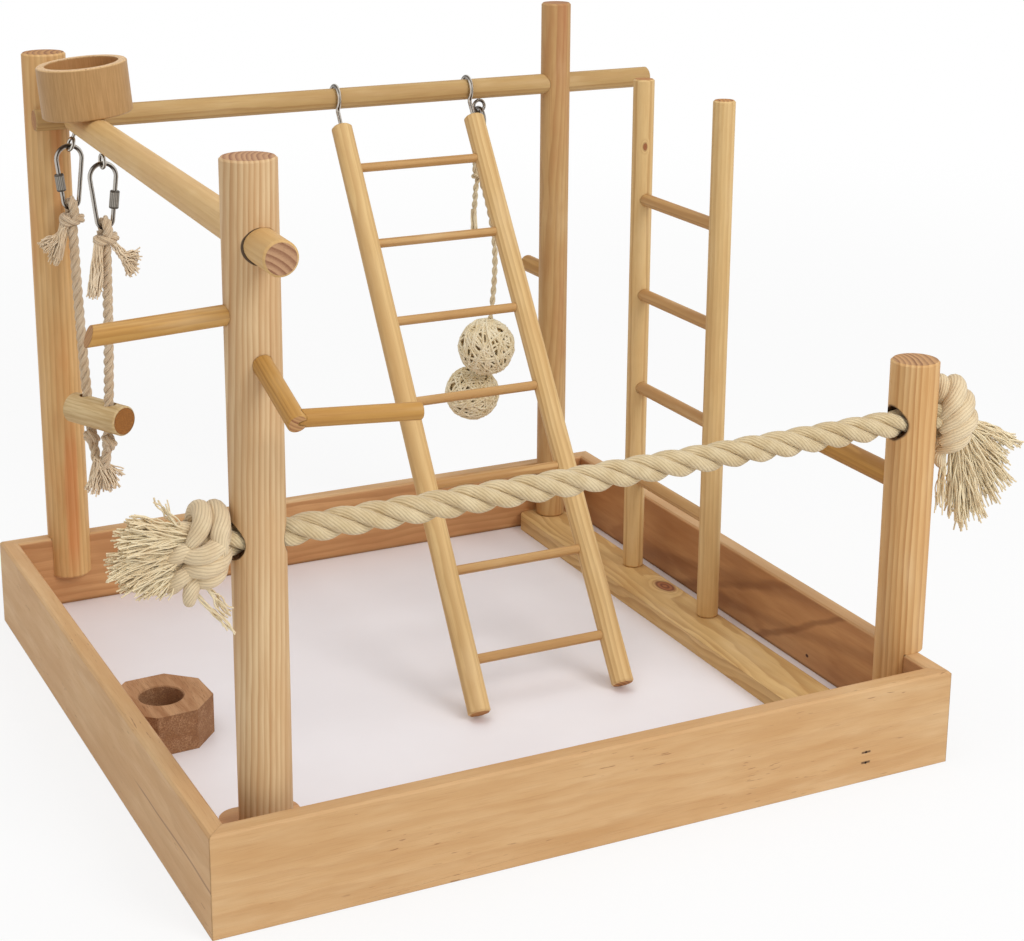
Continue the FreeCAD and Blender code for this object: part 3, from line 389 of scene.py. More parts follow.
def bamboo_cup(middle, up):
    """A cut ring of bamboo: streaks along it, and bundles of fibre on its cut top."""
    finish = Finish("turned_bamboo", Specular_IOR_Level=0.4)
    x, y, z = finish.place(up, middle)
    angle = finish.maths("ARCTAN2", y, x)
    round_x, round_y = finish.maths("COSINE", angle), finish.maths("SINE", angle)
    streaks = finish.noise(round_x * 30, round_y * 30, z * 0.06, 3.0)
    dashes = finish.noise(round_x * 75, round_y * 75, z * 0.22, 1.0)
    body = finish.mix(finish.soft(streaks, 0.3, 0.7), tint(185, 144, 93), tint(170, 130, 80))
    body = finish.mix(finish.soft(dashes, 0.55, 0.8) * 0.2, body, tint(150, 102, 58))
    inside = (1 - finish.soft(finish.radius(x, y), CUP_BORE - 0.4, CUP_BORE + 0.2)) \
        * (1 - finish.soft(z, CUP_HEIGHT - 0.8, CUP_HEIGHT - 0.1))
    body = finish.mix(inside * 0.75, body, tint(194, 122, 64))
    bundles = finish.noise(x * 1.9, y * 1.9, 0.5, 1.0)
    top = finish.mix(finish.soft(bundles, 0.5, 0.7), tint(222, 184, 132), tint(160, 110, 64))
    colour = finish.mix(finish.soft(z, CUP_HEIGHT - 1.0, CUP_HEIGHT - 0.1), body, top)
    return finish.done(colour, 0.42 + streaks * 0.15, streaks + dashes, depth=0.06, edge=0.8)


def rough_block():
    """Hardwood as the saw left it, rougher on its sides than on its top."""
    finish = Finish("sawn_hardwood", Specular_IOR_Level=0.25)
    x, y, z = finish.place(ALONG_Y, middle_of("treat_block"))
    band = finish.noise(x * 0.16, y * 0.16, z * 0.02, 3.0, 0.6)
    pore = finish.noise(x * 2.6, y * 2.6, z * 0.12, 2.0)
    fuzz = finish.noise(x * 1.1, y * 1.1, z * 1.1, 4.0, 0.7)
    side = 1 - finish.soft(finish.facing(UP), 0.6, 0.8)
    colour = finish.mix(finish.soft(band, 0.3, 0.7), tint(192, 148, 108), tint(162, 114, 76))
    colour = finish.mix(finish.soft(pore, 0.55, 0.72) * 0.7, colour, tint(112, 72, 44))
    colour = finish.mix(side * finish.soft(fuzz, 0.35, 0.65), colour, tint(138, 98, 70))
    height = pore * 0.5 + fuzz * (0.4 + side)
    return finish.done(colour, 0.7 + fuzz * 0.2, height, depth=0.5, edge=0.9)


def swing_perch_wood(along, middle):
    """Pale round stick with stained, sawn ends."""
    finish = Finish("swing_stick", Specular_IOR_Level=0.3)
    x, y, z = finish.place(along, middle)
    streak = finish.noise(x * 0.5, y * 0.5, z * 0.03, 3.0)
    fine = finish.noise(x * 2.2, y * 2.2, z * 0.07, 2.0)
    colour = finish.mix(finish.soft(streak, 0.3, 0.7), tint(214, 188, 142), tint(188, 156, 106))
    colour = finish.mix(finish.soft(fine, 0.55, 0.75) * 0.5, colour, tint(160, 124, 78))
    dots = finish.noise(x * 1.5, y * 1.5, z * 1.5, 3.0, 0.65)
    face = finish.mix(finish.soft(dots, 0.42, 0.6), tint(112, 66, 26), tint(186, 126, 62))
    face = finish.mix(finish.soft(finish.radius(x, y), 8.2, 10.2) * 0.8, face, tint(92, 60, 34))
    colour = finish.mix(finish.soft(finish.facing(along), 0.8, 0.95), colour, face)
    return finish.done(colour, 0.6 + fine * 0.15, streak + fine * 0.5, depth=0.15, edge=0.9)


STEEL_REFLECTION_SIDE = (0.8, 0.6, 0)


def steel(name, dark, bright, roughness):
    """Bright wire, with painted reflections: bands of light and dark by the way its surface
    faces.
    """
    finish = Finish(name, Metallic=1.0)
    x, y, z = finish.place()
    smear = finish.noise(x * 0.12, y * 0.12, z * 0.12, 3.0, 0.6)
    scratch = finish.noise(x * 3, y * 3, z * 0.5, 2.0)
    side = finish.facing(STEEL_REFLECTION_SIDE) + smear * 0.24 - 0.12
    # painted reflections: dark and bright bands by how squarely the wire faces one direction
    painted_reflection = finish.soft(side, 0.5, 0.3) + finish.soft(side, 0.74, 0.94)
    colour = finish.mix(painted_reflection, dark, bright)
    return finish.done(colour, smear * 0.2 + roughness, scratch, depth=0.02)


def knurled(name, along, middle, dark, bright):
    """A turned nut with fine ridges round it, with a painted highlight on their crests and
    painted shade in their grooves.
    """
    finish = Finish(name, Metallic=1.0)
    x, y, z = finish.place(along, middle)
    ridge = finish.size_of(finish.maths("SINE", finish.maths("ARCTAN2", y, x) * 8))
    ridge = ridge * (1 - finish.soft(finish.size_of(z), 4.6, 5.0))
    smear = finish.noise(x * 0.6, y * 0.6, z * 0.6, 3.0)
    # painted highlight on the crests of the ridges and painted shade in their grooves
    colour = finish.mix(ridge * 0.7 + smear * 0.3, dark, bright)
    return finish.done(colour, 0.3 + smear * 0.2, ridge, depth=0.35)


CUP_FOOT = metres(-178.173, 168.035, 376.964)
CUP_UP = Vector((-0.087079, 0.003652, 0.996195))
SWING_ALONG = Vector((-0.438371, 0.898794, 0))
SWING_MIDDLE = metres(-181.19, 166.0, 169.0)
dress_node("tray_floor_panel", white_panel())
dress_node("seed_cup", bamboo_cup(CUP_FOOT, CUP_UP))
dress_node("treat_block", rough_block())
dress_node("swing_perch", swing_perch_wood(SWING_ALONG, SWING_MIDDLE))
STEELS = (
    # finish, painted dark and bright reflection tones, roughness, nodes
    ("link_steel_finish", tint(72, 64, 57), tint(190, 184, 175), 0.18,
     ("swing_rear_link", "swing_front_link", "toy_link")),
    ("hook_steel_finish", tint(88, 80, 72), tint(210, 204, 194), 0.16,
     ("ladder_left_hook", "ladder_right_hook", "swing_eyes", "toy_eye")),
    ("screw_steel_finish", tint(150, 146, 138), tint(208, 204, 196), 0.24, ("seed_cup_screw",)),
    ("blued_steel_finish", tint(52, 44, 38), tint(92, 76, 62), 0.4, ("plank_pins",)))
for name, dark, bright, roughness, nodes in STEELS:
    material = steel(name, dark, bright, roughness)
    for node in nodes:
        dress_node(node, material)
NUTS = {"swing_rear_link_nut": ((-191.142, 199.746, 325.788), (-0.122383, -0.010201, 0.992431)),
        "swing_front_link_nut": ((-171.596, 136.591, 324.222), (0.122383, 0.010201, 0.992431)),
        "toy_link_nut": ((131.0, 204.884, 328.222), (0, -0.122807, 0.992431))}
for node, (middle, along) in NUTS.items():
    dress_node(node, knurled(node + "_finish", Vector(along), metres(*middle),
                             tint(64, 58, 52), tint(180, 174, 164)))


# ---- cords: lines, strands and frayed ends -------------------------------------
def add_line(curve, places, kind):
    """A spline of the curve with these control points."""
    spline = curve.splines.new(kind)
    spline.points.add(len(places) - 1)
    for knot, place in zip(spline.points, places):
        knot.co = (*place, 1)
    if kind == "NURBS":
        spline.order_u = 3
        spline.use_endpoint_u = True
    return spline


def meshed(curve):
    """The curve as a mesh; the curve itself goes."""
    carrier = bpy.data.objects.new(curve.name, curve)
    mesh = bpy.data.meshes.new_from_object(carrier)
    bpy.data.objects.remove(carrier)
    bpy.data.curves.remove(curve)
    return mesh


def new_curve(name, steps):
    curve = bpy.data.curves.new(name, "CURVE")
    curve.dimensions = "3D"
    curve.resolution_u = steps
    return curve


def follow(points, steps=10):
    """The points of a smooth line with these control points."""
    curve = new_curve("line", steps)
    add_line(curve, points, "NURBS")
    mesh = meshed(curve)
    places = [vertex.co.copy() for vertex in mesh.vertices]
    bpy.data.meshes.remove(mesh)
    return places


def length_of(points):
    return sum((b - a).length for a, b in zip(points, points[1:]))


def evenly(points, step):
    """The same line with its points the same distance apart."""
    count = max(2, round(length_of(points) / step))
    gap = length_of(points) / count
    out, walked, wanted = [points[0].copy()], 0.0, gap
    for a, b in zip(points, points[1:]):
        run = (b - a).length
        while wanted <= walked + run + 1e-9 and len(out) < count:
            out.append(a.lerp(b, (wanted - walked) / run))
            wanted += gap
        walked += run
    out.append(points[-1].copy())
    return out


def laid(points, radius, lay, count=3, start=0.0, plump=1.06):
    """The strands of a rope that is laid round the line of points, and their radius."""
    thick = radius / (1 + 1 / math.sin(math.pi / count))
    offset = radius - thick
    strands = [[] for _ in range(count)]
    tangent = (points[1] - points[0]).normalized()
    side = tangent.orthogonal().normalized()
    walked = 0.0
    for i, point in enumerate(points):
        ahead = points[min(i + 1, len(points) - 1)] - points[max(i - 1, 0)]
        turned = tangent.rotation_difference(ahead.normalized())
        tangent = ahead.normalized()
        side = turned @ side
        top = tangent.cross(side)
        if i:
            walked += (point - points[i - 1]).length
        for k, strand in enumerate(strands):
            angle = start + TURN * (walked / lay + k / count)
            strand.append(point + (side * math.cos(angle) + top * math.sin(angle)) * offset)
    return strands, thick * plump


def yarns(name, lines, radius, sides=0, kind="POLY", thickness=None):
    """One mesh of round yarns, each along its own line. Its UV runs along and round them.
    thickness gives a factor on the radius for each share of a line."""
    curve = new_curve(name, 2)
    curve.bevel_depth = radius
    curve.bevel_resolution = sides
    curve.use_fill_caps = True
    for line in lines:
        spline = add_line(curve, line, kind)
        if thickness:
            for i, knot in enumerate(spline.points):
                knot.radius = thickness(i / (len(line) - 1))
    mesh = meshed(curve)
    mesh.name = name
    mesh.shade_smooth()
    return mesh


LOOSE_YARN = 0.5


def frayed(name, lines, radius=LOOSE_YARN):
    """One mesh of thin loose yarns; the radius is in millimetres."""
    return yarns(name, lines, radius * MM, kind="NURBS")


def joined(name, meshes):
    """Several meshes as one."""
    whole = bmesh.new()
    for mesh in meshes:
        whole.from_mesh(mesh)
    mesh = bpy.data.meshes.new(name)
    whole.to_mesh(mesh)
    whole.free()
    mesh.shade_smooth()
    return mesh


def piece(name, mesh, body, material, slot, *replaced):
    """Puts a finished mesh in the scene, on its body."""
    made = bpy.data.objects.new(name, mesh)
    bpy.context.collection.objects.link(made)
    mesh.materials.clear()
    mesh.materials.append(material)
    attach(made, body)
    if replaced:
        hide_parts(*replaced)
    return made


def in_disc(radius):
    """A random place in a disc."""
    angle = chance.uniform(0, TURN)
    off = radius * math.sqrt(chance.random())
    return off * math.cos(angle), off * math.sin(angle)


def tuft(root, tip, root_radius, tip_radius, count, wave, droop=0.0):
    """Loose yarns from about a root to about a tip, in millimetres."""
    root, tip = Vector(root), Vector(tip)
    along = (tip - root).normalized()
    side = along.orthogonal().normalized()
    top = along.cross(side)
    lines = []
    for _ in range(count):
        a, b = in_disc(root_radius)
        c, d = in_disc(tip_radius)
        reach = chance.uniform(0.8, 1.08)
        line = []
        for i in range(6):
            share = i / 5
            spread = share + math.sin(share * math.pi) * 0.12
            loose = min(1, share * 2.5)
            off_side = a + (c - a) * spread + chance.gauss(0, wave) * loose
            off_top = b + (d - b) * spread + chance.gauss(0, wave) * loose
            place = root + (tip - root) * (share * reach) + side * off_side + top * off_top
            place.z -= droop * share * share
            line.append(place * MM)
        lines.append(line)
    return lines


def cotton(name, pale, deep, shadow, around=0.0, twist=0.0):
    """Cotton yarn. around and twist draw the fine yarns on a strand: how many lie round
    it, and their turns in one length of it."""
    finish = Finish(name, Specular_IOR_Level=0.15, Sheen_Weight=0.25, Sheen_Roughness=0.5)
    x, y, z = finish.place()
    cloud = finish.noise(x * 0.09, y * 0.09, z * 0.09, 3.0)
    fluff = finish.noise(x * 2.0, y * 2.0, z * 2.0, 3.0, 0.65)
    height = fluff
    colour = finish.mix(finish.soft(cloud, 0.3, 0.7), pale, deep)
    if around:
        uv = finish.node("TexCoord", output="UV")
        v, u = finish.node("SeparateXYZ", {}, {0: uv}, (0, 1))
        wander = finish.noise(x * 0.12, y * 0.12, z * 0.12, 2.0) * 0.8
        wave = finish.maths("SINE", (u * around + v * twist + wander) * math.pi)
        yarn = finish.size_of(wave)
        groove = 1 - finish.soft(yarn, 0.0, 0.55)
        colour = finish.mix(groove * 0.32, colour, shadow)
        height = yarn * 1.2 + fluff * 0.6
    colour = finish.mix(finish.soft(fluff, 0.6, 0.78) * 0.35, colour, shadow)
    return finish.done(colour, 0.85 + fluff * 0.1, height, depth=0.3)


CREAM = (tint(222, 202, 163), tint(208, 185, 143), tint(156, 125, 83))
PALE_CREAM = (tint(231, 210, 173), tint(219, 195, 157), tint(168, 137, 98))
LOOSE_CREAM = (tint(244, 228, 192), tint(234, 212, 172), tint(190, 160, 116))
BLUSH = (tint(226, 204, 174), tint(214, 188, 154), tint(160, 130, 98))
LOOSE_BLUSH = (tint(242, 222, 192), tint(232, 208, 174), tint(186, 156, 122))
STRING = (tint(240, 224, 188), tint(228, 206, 166), tint(196, 168, 124))
LOOSE_STRING = (tint(244, 230, 196), tint(234, 214, 176), tint(190, 162, 120))
rope_cotton = cotton("rope_cotton", *CREAM, around=13, twist=-137)
rope_knot_cotton = cotton("rope_knot_cotton", *PALE_CREAM, around=16, twist=-5)
rope_yarn = cotton("rope_yarn", *LOOSE_CREAM)
swing_cotton = cotton("swing_cotton", *BLUSH, around=7, twist=-56)
swing_knot_cotton = cotton("swing_knot_cotton", *BLUSH, around=7, twist=-8)
swing_yarn = cotton("swing_yarn", *LOOSE_BLUSH)
string_cotton = cotton("string_cotton", *STRING, around=6, twist=-30)
string_yarn = cotton("string_yarn", *LOOSE_STRING)


# ---- thick rope ---------------------------------------------------------------
ROPE_RADIUS = 8.3
ROPE_LAY = 56.0
ROPE_ROUTE = [metres(-220.3, -196, 207.5), metres(19.75, -192.5, 207.5),
              metres(259.8, -189, 211.5)]
rope_line = evenly(follow(ROPE_ROUTE, 24), 2.4 * MM)
strands, strand_radius = laid(rope_line, ROPE_RADIUS * MM, ROPE_LAY * MM, start=0.6)
thick_rope = piece("laid_thick_rope", yarns("laid_thick_rope", strands, strand_radius, 4),
                   "stand", rope_cotton, "thick_rope", "thick_rope")

# the camera's right, up and backwards, for knots that are laid out as the picture shows them
VIEW = (Vector((0.9047, -0.4261, 0)), Vector((0.1128, 0.2395, 0.9643)),
        Vector((-0.4109, -0.8724, 0.2647)))


def tapered(share):
    """How thick a turn of strand is at a share of its length."""
    return 0.62 + 0.38 * math.sin(math.pi * share) ** 0.6


def bights(middle, rows):
    """Fat, tapered turns of strand; each row is a radius and points right, up and near."""
    meshes = []
    for radius, *points in rows:
        line = []
        for right, up, near in points:
            place = Vector(middle) + VIEW[0] * right + VIEW[1] * up + VIEW[2] * near
            line.append(place * MM)
        line = evenly(follow(line, 8), 1.3 * MM)
        meshes.append(yarns("bight", [line], radius * MM, 5, thickness=tapered))
    return meshes


LEFT_KNOT = (
    (5.4, (-9, 12, -8), (-6, 19, -2), (-1, 18, 6), (-1, 9, 11), (-7, 0, 10)),
    (5.2, (1, 19, -9), (5, 20, -1), (9, 12, 6), (7, 3, 10), (9, -4, 5)),
    (5.3, (9, 9, -4), (9, 3, 4), (4, -3, 12), (-3, -6, 12), (-11, -5, 8)),
    (5.2, (10, -3, -3), (9, -8, 4), (3, -12, 10), (-5, -12, 9), (-11, -13, 5)),
    (4.8, (8, -10, -3), (7, -15, 3), (1, -19, 6), (-5, -19, 3)),
    (4.8, (-4, 0, 6), (-9, -2, 10), (-14, -5, 9), (-22, -10, 5)),
    (4.6, (-5, -11, 4), (-9, -14, 8), (-14, -18, 7), (-19, -24, 2)),
    (4.2, (-3, -15, 3), (-6, -20, 6), (-8, -25, 5), (-9, -31, 1)),
    (4.4, (-5, 8, 4), (-11, 9, 7), (-17, 7, 6), (-24, 6, 3)),
    (6.4, (-6, 17, -4), (1, 16, -11), (5, 4, -14), (1, -10, -12)),
    (6.0, (6, 13, -3), (8, 2, -9), (5, -12, -8), (-2, -18, -3)),
    (6.2, (-9, 12, -4), (-10, 0, -10), (-6, -14, -8), (-4, -18, -2)),
    (9.5, (-1, 10, -1), (-1, 0, 0), (-2, -10, 0)))
RIGHT_KNOT = (
    (4.4, (-6, 17, -7), (-7, 22, -2), (-6, 18, 5), (-7, 9, 6), (-9, 4, 1)),
    (5.8, (0, 17, -8), (2, 21, -2), (3, 15, 7), (-2, 5, 12), (-9, -4, 6)),
    (5.8, (7, 11, -8), (9, 11, 0), (7, 4, 8), (0, -4, 12), (-8, -11, 6)),
    (5.5, (10, 2, -7), (11, 0, 1), (9, -6, 8), (1, -12, 11), (-8, -18, 5)),
    (4.4, (8, -8, -4), (9, -12, 2), (4, -18, 6), (-3, -21, 6), (-9, -23, 0)),
    (4.4, (-9, -14, 2), (-7, -20, 0), (-9, -27, -2), (-5, -33, -4)),
    (6.2, (2, 19, -6), (6, 12, -12), (3, 0, -15), (-4, -12, -11)),
    (5.8, (9, 9, -6), (10, -4, -11), (5, -15, -9), (-2, -20, -4)),
    (5.8, (-6, 16, -6), (-5, 4, -12), (-6, -10, -9), (-7, -16, -2)),
    (9.5, (-1, 10, -1), (0, 0, 0), (0, -11, 0)))


def rope_end(name, middle, rows, tufts, node):
    """A knot and its frayed tassel, in place of the node's plain solid."""
    knot = piece(name + "_knot", joined(name + "_knot", bights(middle, rows)), "stand",
                 rope_knot_cotton, "thick_rope", node)
    lines = []
    for root, tips, gather, spread, count in tufts:
        for tip in tips:
            lines += tuft(root, tip, gather, spread, count, 1.3, 1.5)
    tassel = piece(name + "_fringe", frayed(name + "_fringe", lines), "stand",
                   rope_yarn, "thick_rope")
    return [knot, tassel]


# each row: a root, the tips of its tufts, how wide the root and a tip are, yarns to a tip
LEFT_TUFTS = (
    ((-231, -197, 213), ((-264, -198, 228), (-270, -196, 221), (-271, -201, 214),
                         (-262, -190, 222)), 4.5, 4.6, 45),
    ((-233, -198, 206), ((-274, -196, 208), (-275, -195, 201), (-271, -200, 195),
                         (-266, -188, 204)), 4.5, 4.8, 45),
    ((-234, -199, 198), ((-262, -197, 189), (-253, -198, 187), (-268, -193, 193)), 4.0, 4.6, 40),
    ((-238, -200, 190), ((-213, -203, 161),), 1.0, 2.0, 5),
    ((-226, -202, 186), ((-214, -203, 170),), 1.0, 3.0, 8),
    ((-236, -197, 217), ((-249, -198, 238),), 1.0, 3.0, 6))
RIGHT_TUFTS = (
    ((268, -190, 199), ((280, -189, 137), (270, -192, 144), (290, -187, 141), (276, -180, 146),
                        (283, -197, 150)), 5.0, 5.0, 45),
    ((272, -189, 201), ((302, -188, 151), (311, -189, 160), (296, -196, 158),
                        (300, -180, 160)), 4.0, 5.0, 40),
    ((273, -189, 207), ((316, -189, 186),), 3.0, 4.0, 80),
    ((273, -189, 205), ((309, -188, 177),), 3.0, 4.5, 66),
    ((258, -192, 190), ((256, -192, 152),), 1.5, 3.0, 16))
left_end = rope_end("rope_left", (-223.5, -197, 208), LEFT_KNOT, LEFT_TUFTS, "rope_left_end")
right_end = rope_end("rope_right", (264.5, -189, 211.5), RIGHT_KNOT, RIGHT_TUFTS,
                     "rope_right_end")


# ---- swing --------------------------------------------------------------------
SWING_ROPE_RADIUS, SWING_ROPE_LAY = 3.5, 21.0
HITCH_RADIUS, HITCH_LAY = 3.3, 17.0
STOPPER_RADIUS, STOPPER_LAY = 3.0, 20.0
STOPPER_BELOW = 18.4    # from the perch's middle to the stopper knot's, along the rope
REAR_HOLE, REAR_END = Vector((-187.11, 178.13, 169)), Vector((-182.86, 169.42, 130.5))
FRONT_HOLE, FRONT_END = Vector((-175.27, 153.87, 169)), Vector((-179.52, 162.58, 130.5))
REAR_ROUTE = (Vector((-184.05, 200.338, 298.77)), REAR_HOLE, REAR_END)
FRONT_ROUTE = (Vector((-178.69, 136, 297.2)), FRONT_HOLE, FRONT_END)
REAR_KNOT, FRONT_KNOT = Vector((-184.05, 200.338, 299.0)), Vector((-178.69, 136.0, 297.6))
LINK_SIDE = Vector((0.996545, 0.083065, 0)).normalized()
LINK_BACK = UP.cross(LINK_SIDE)


def swing_rope(name, route, node):
    """A laid rope of the swing, and its line."""
    line = evenly(follow([place * MM for place in route], 24), 1.4 * MM)
    strands, thick = laid(line, SWING_ROPE_RADIUS * MM, SWING_ROPE_LAY * MM)
    made = piece(name, yarns(name, strands, thick, 2), "swing", swing_cotton, "swing_rope", node)
    return made, line


def hitch(middle, wire, start):
    """A loop over the link's wire and a band round the standing rope, as lines in metres."""
    loop = [base + UP * up + LINK_BACK * back for base, up, back in (
        (middle, -1.0, -2.4), (middle, 4.0, -4.4), (wire, 1.5, -5.0), (wire, 6.2, 0.0),
        (wire, 1.5, 5.0), (middle, 4.0, 4.4), (middle, -1.0, 2.4))]
    band = []
    for i in range(11):
        angle = start + TURN * 1.3 * i / 10
        band.append(middle + LINK_SIDE * (6.4 * math.cos(angle))
                    + LINK_BACK * (4.8 * math.sin(angle)) + UP * (3.4 * (i / 10 - 0.5) + 1.0))
    lines = []
    for route in (loop, band):
        line = evenly(follow([place * MM for place in route], 8), 0.9 * MM)
        strands, thick = laid(line, HITCH_RADIUS * MM, HITCH_LAY * MM, plump=1.12)
        lines += strands
    return lines, thick


def overhand(middle, below):
    """The line of an overhand knot: in from above, round and through itself, and out."""
    radius, hollow, lean = 3.7, 2.1, 0.3
    axis = (ALONG_X * math.cos(lean) - below * math.sin(lean)).normalized()
    first = axis.orthogonal().normalized()
    second = axis.cross(first)
    points = [middle - below * 4]
    for i in range(17):
        angle = TURN * (0.06 + 0.88 * i / 16)
        reach = radius + hollow * math.cos(3 * angle)
        points.append(middle + first * (reach * math.cos(2 * angle))
                      + second * (reach * math.sin(2 * angle))
                      + axis * (hollow * math.sin(3 * angle)))
    points.append(middle + below * 4)
    return evenly(follow([place * MM for place in points], 8), 1.2 * MM)


hitch_lines = []
for middle, wire_z, start in ((REAR_KNOT, 307.57, 2.4), (FRONT_KNOT, 306.0, 0.4)):
    lines, thick = hitch(middle, Vector((middle.x, middle.y, wire_z)), start)
    hitch_lines += lines
hitches = piece("swing_hitches", yarns("swing_hitches", hitch_lines, thick, 2), "swing",
                swing_knot_cotton, "swing_rope", "swing_rope_knots")
TAILS = (
    # root, tip, how wide the root and the tip are, yarns, wave
    (REAR_KNOT + Vector((-5, 0, -1)), (-198, 198, 271), 3.4, 5.0, 70, 0.8),
    (REAR_KNOT + Vector((-8, 0, -10)), (-206, 199, 282), 3.4, 5.0, 50, 0.9),
    (FRONT_KNOT + Vector((-5, -1, -1)), (-189, 133, 262), 3.4, 4.6, 100, 0.8),
    (FRONT_KNOT + Vector((4, 0, -1)), (-167, 136, 285), 2.4, 3.0, 40, 0.7),
    ((-169, 136, 287), (-157, 136, 283), 2.2, 5.5, 46, 0.9),
    ((-169, 136, 287), (-161, 136, 273), 2.2, 4.5, 40, 0.9))
tails = [line for row in TAILS for line in tuft(*row)]
swing_tails = piece("swing_tails", frayed("swing_tails", tails), "swing",
                    swing_yarn, "swing_rope")

rear_rope, rear_line = swing_rope("laid_rear_rope", REAR_ROUTE, "swing_rear_rope")
front_rope, front_line = swing_rope("laid_front_rope", FRONT_ROUTE, "swing_front_rope")

stopper_lines = []
for hole, end in ((REAR_HOLE, REAR_END), (FRONT_HOLE, FRONT_END)):
    below = (end - hole).normalized()
    line = overhand(hole + below * STOPPER_BELOW, below)
    strands, thick = laid(line, STOPPER_RADIUS * MM, STOPPER_LAY * MM, plump=1.15)
    stopper_lines += strands
stoppers = piece("swing_stoppers", yarns("swing_stoppers", stopper_lines, thick, 2), "swing",
                 swing_knot_cotton, "swing_rope", "swing_stopper_knots")
JOINT = Vector((-181.19, 166.0, 134.0))
tassel_lines = tuft(JOINT + UP * 3, JOINT + Vector((-5, 3, -21)), 5.0, 7.0, 70, 0.7) \
    + tuft(JOINT + UP * 3, JOINT + Vector((6, -3, -19)), 5.0, 7.0, 70, 0.7) \
    + tuft(JOINT, JOINT + Vector((14, -4, -9)), 2.0, 3.0, 10, 0.7)
swing_tassel = piece("swing_fringe", frayed("swing_fringe", tassel_lines), "swing",
                     swing_yarn, "swing_rope", "swing_tassel")


# ---- toy ----------------------------------------------------------------------
STRING_RADIUS, STRING_LAY = 2.2, 15.0
STRING_KNOT_RADIUS, STRING_KNOT_LAY = 2.1, 13.0
STRING_YARN = 0.55
STRING_TOP = Vector((131, 212, 303.2))
STRING_ROUTE = [STRING_TOP * MM, metres(140.5, 212, 277.5), metres(145.5, 209, 229.5),
                metres(137.38, 205.47, 187.12)]
# from the string's top
STRING_LOOP = ((-2.0, 0, -1), (-3.6, 0, 4), (-3.4, 0, 9), (0, 0, 12.5), (3.4, 0, 9),
               (3.6, 0, 4), (2.0, 0, -1))
STRING_BAND = [(4.2 * math.cos(angle), 3.6 * math.sin(angle), 1.4 * angle / 3 - 3)
               for angle in (0.7 * i for i in range(12))]
STRING_TAIL = ((0, 0, -2), (-3.4, -1, -10), (-3.0, 0, -20), (-4.2, 0, -31))
string_line = evenly(follow(STRING_ROUTE, 20), 1.2 * MM)
plies, ply = laid(string_line, STRING_RADIUS * MM, STRING_LAY * MM, 2)
toy_string = piece("twisted_toy_string", yarns("twisted_toy_string", plies, ply, 2), "toy",
                   string_cotton, "toy_string", "toy_string")
knot_lines = []
for route in (STRING_LOOP, STRING_BAND, STRING_TAIL):
    line = evenly(follow([(STRING_TOP + Vector(place)) * MM for place in route], 8), 0.8 * MM)
    plies, ply = laid(line, STRING_KNOT_RADIUS * MM, STRING_KNOT_LAY * MM, 2, plump=1.1)
    knot_lines += plies
string_knot = piece("toy_string_knot", yarns("toy_string_knot", knot_lines, ply, 2), "toy",
                    string_cotton, "toy_string", "toy_knot")
whisk = tuft(STRING_TOP + Vector((-4.0, 0, -27)), STRING_TOP + Vector((-3.6, 0, -46)),
             1.9, 2.6, 22, 0.25)
string_end = piece("toy_string_end", frayed("toy_string_end", whisk, STRING_YARN), "toy",
                   string_yarn, "toy_string")


def vine_finish(name, pale, deep):
    """Dry, pale vine."""
    finish = Finish(name, Specular_IOR_Level=0.3)
    x, y, z = finish.place()
    cloud = finish.noise(x * 0.12, y * 0.12, z * 0.12, 3.0)
    grain = finish.noise(x * 1.6, y * 1.6, z * 1.6, 3.0)
    colour = finish.mix(finish.soft(cloud, 0.3, 0.7), pale, deep)
    colour = finish.mix(finish.soft(grain, 0.55, 0.8) * 0.4, colour, tint(168, 132, 84))
    return finish.done(colour, 0.6 + grain * 0.2, grain, depth=0.15)


def wickerwork(centre, radius, count, shy, thick):
    """Rings of vine laid at random over a ball; shy is how far they lie inside its surface."""
    lines = []
    for _ in range(count):
        axis = Vector((chance.gauss(0, 1), chance.gauss(0, 1), chance.gauss(0, 1))).normalized()
        side = axis.orthogonal().normalized()
        front = axis.cross(side)
        level = chance.uniform(-0.62, 0.62)
        reach = radius - thick - shy * chance.random()
        corners = chance.choice((7, 8, 9))
        phase = chance.uniform(0, TURN)
        line = []
        for i in range(corners * 3 + 1):
            angle = phase + TURN * i / (corners * 3)
            flat = 1 - 0.035 * (0.5 + 0.5 * math.cos(angle * corners))
            ring = reach * flat * math.sqrt(1 - level * level)
            line.append((centre + side * (ring * math.cos(angle))
                         + front * (ring * math.sin(angle)) + axis * (reach * flat * level)) * MM)
        lines.append(line)
    return lines


def tie(upper, lower, share, reach):
    """Loops of vine that bind the two balls where they touch."""
    along = (lower - upper).normalized()
    middle = upper.lerp(lower, share)
    right = along.orthogonal().normalized()
    lines = []
    for turn in (0.3, 1.35, 2.4):
        side = right * math.cos(turn) + along.cross(right) * math.sin(turn)
        line = []
        for i in range(13):
            angle = TURN * i / 12
            line.append((middle + along * (reach * math.cos(angle))
                         + side * (reach * 0.7 * math.sin(angle))) * MM)
        lines.append(line)
    return lines


UPPER_BALL, UPPER_RADIUS = Vector((134, 204, 169.5)), 23.0
LOWER_BALL, LOWER_RADIUS = Vector((130.5, 222, 128)), 22.0
OUTER_WEAVE = dict(count=50, shy=1.6, thick=1.0)
INNER_WEAVE = dict(count=60, shy=3.0, thick=1.2)
INNER_DEPTH = 3.0
TIE_REACH = 5.0
vine_outer = vine_finish("pale_vine", tint(246, 234, 204), tint(234, 216, 176))
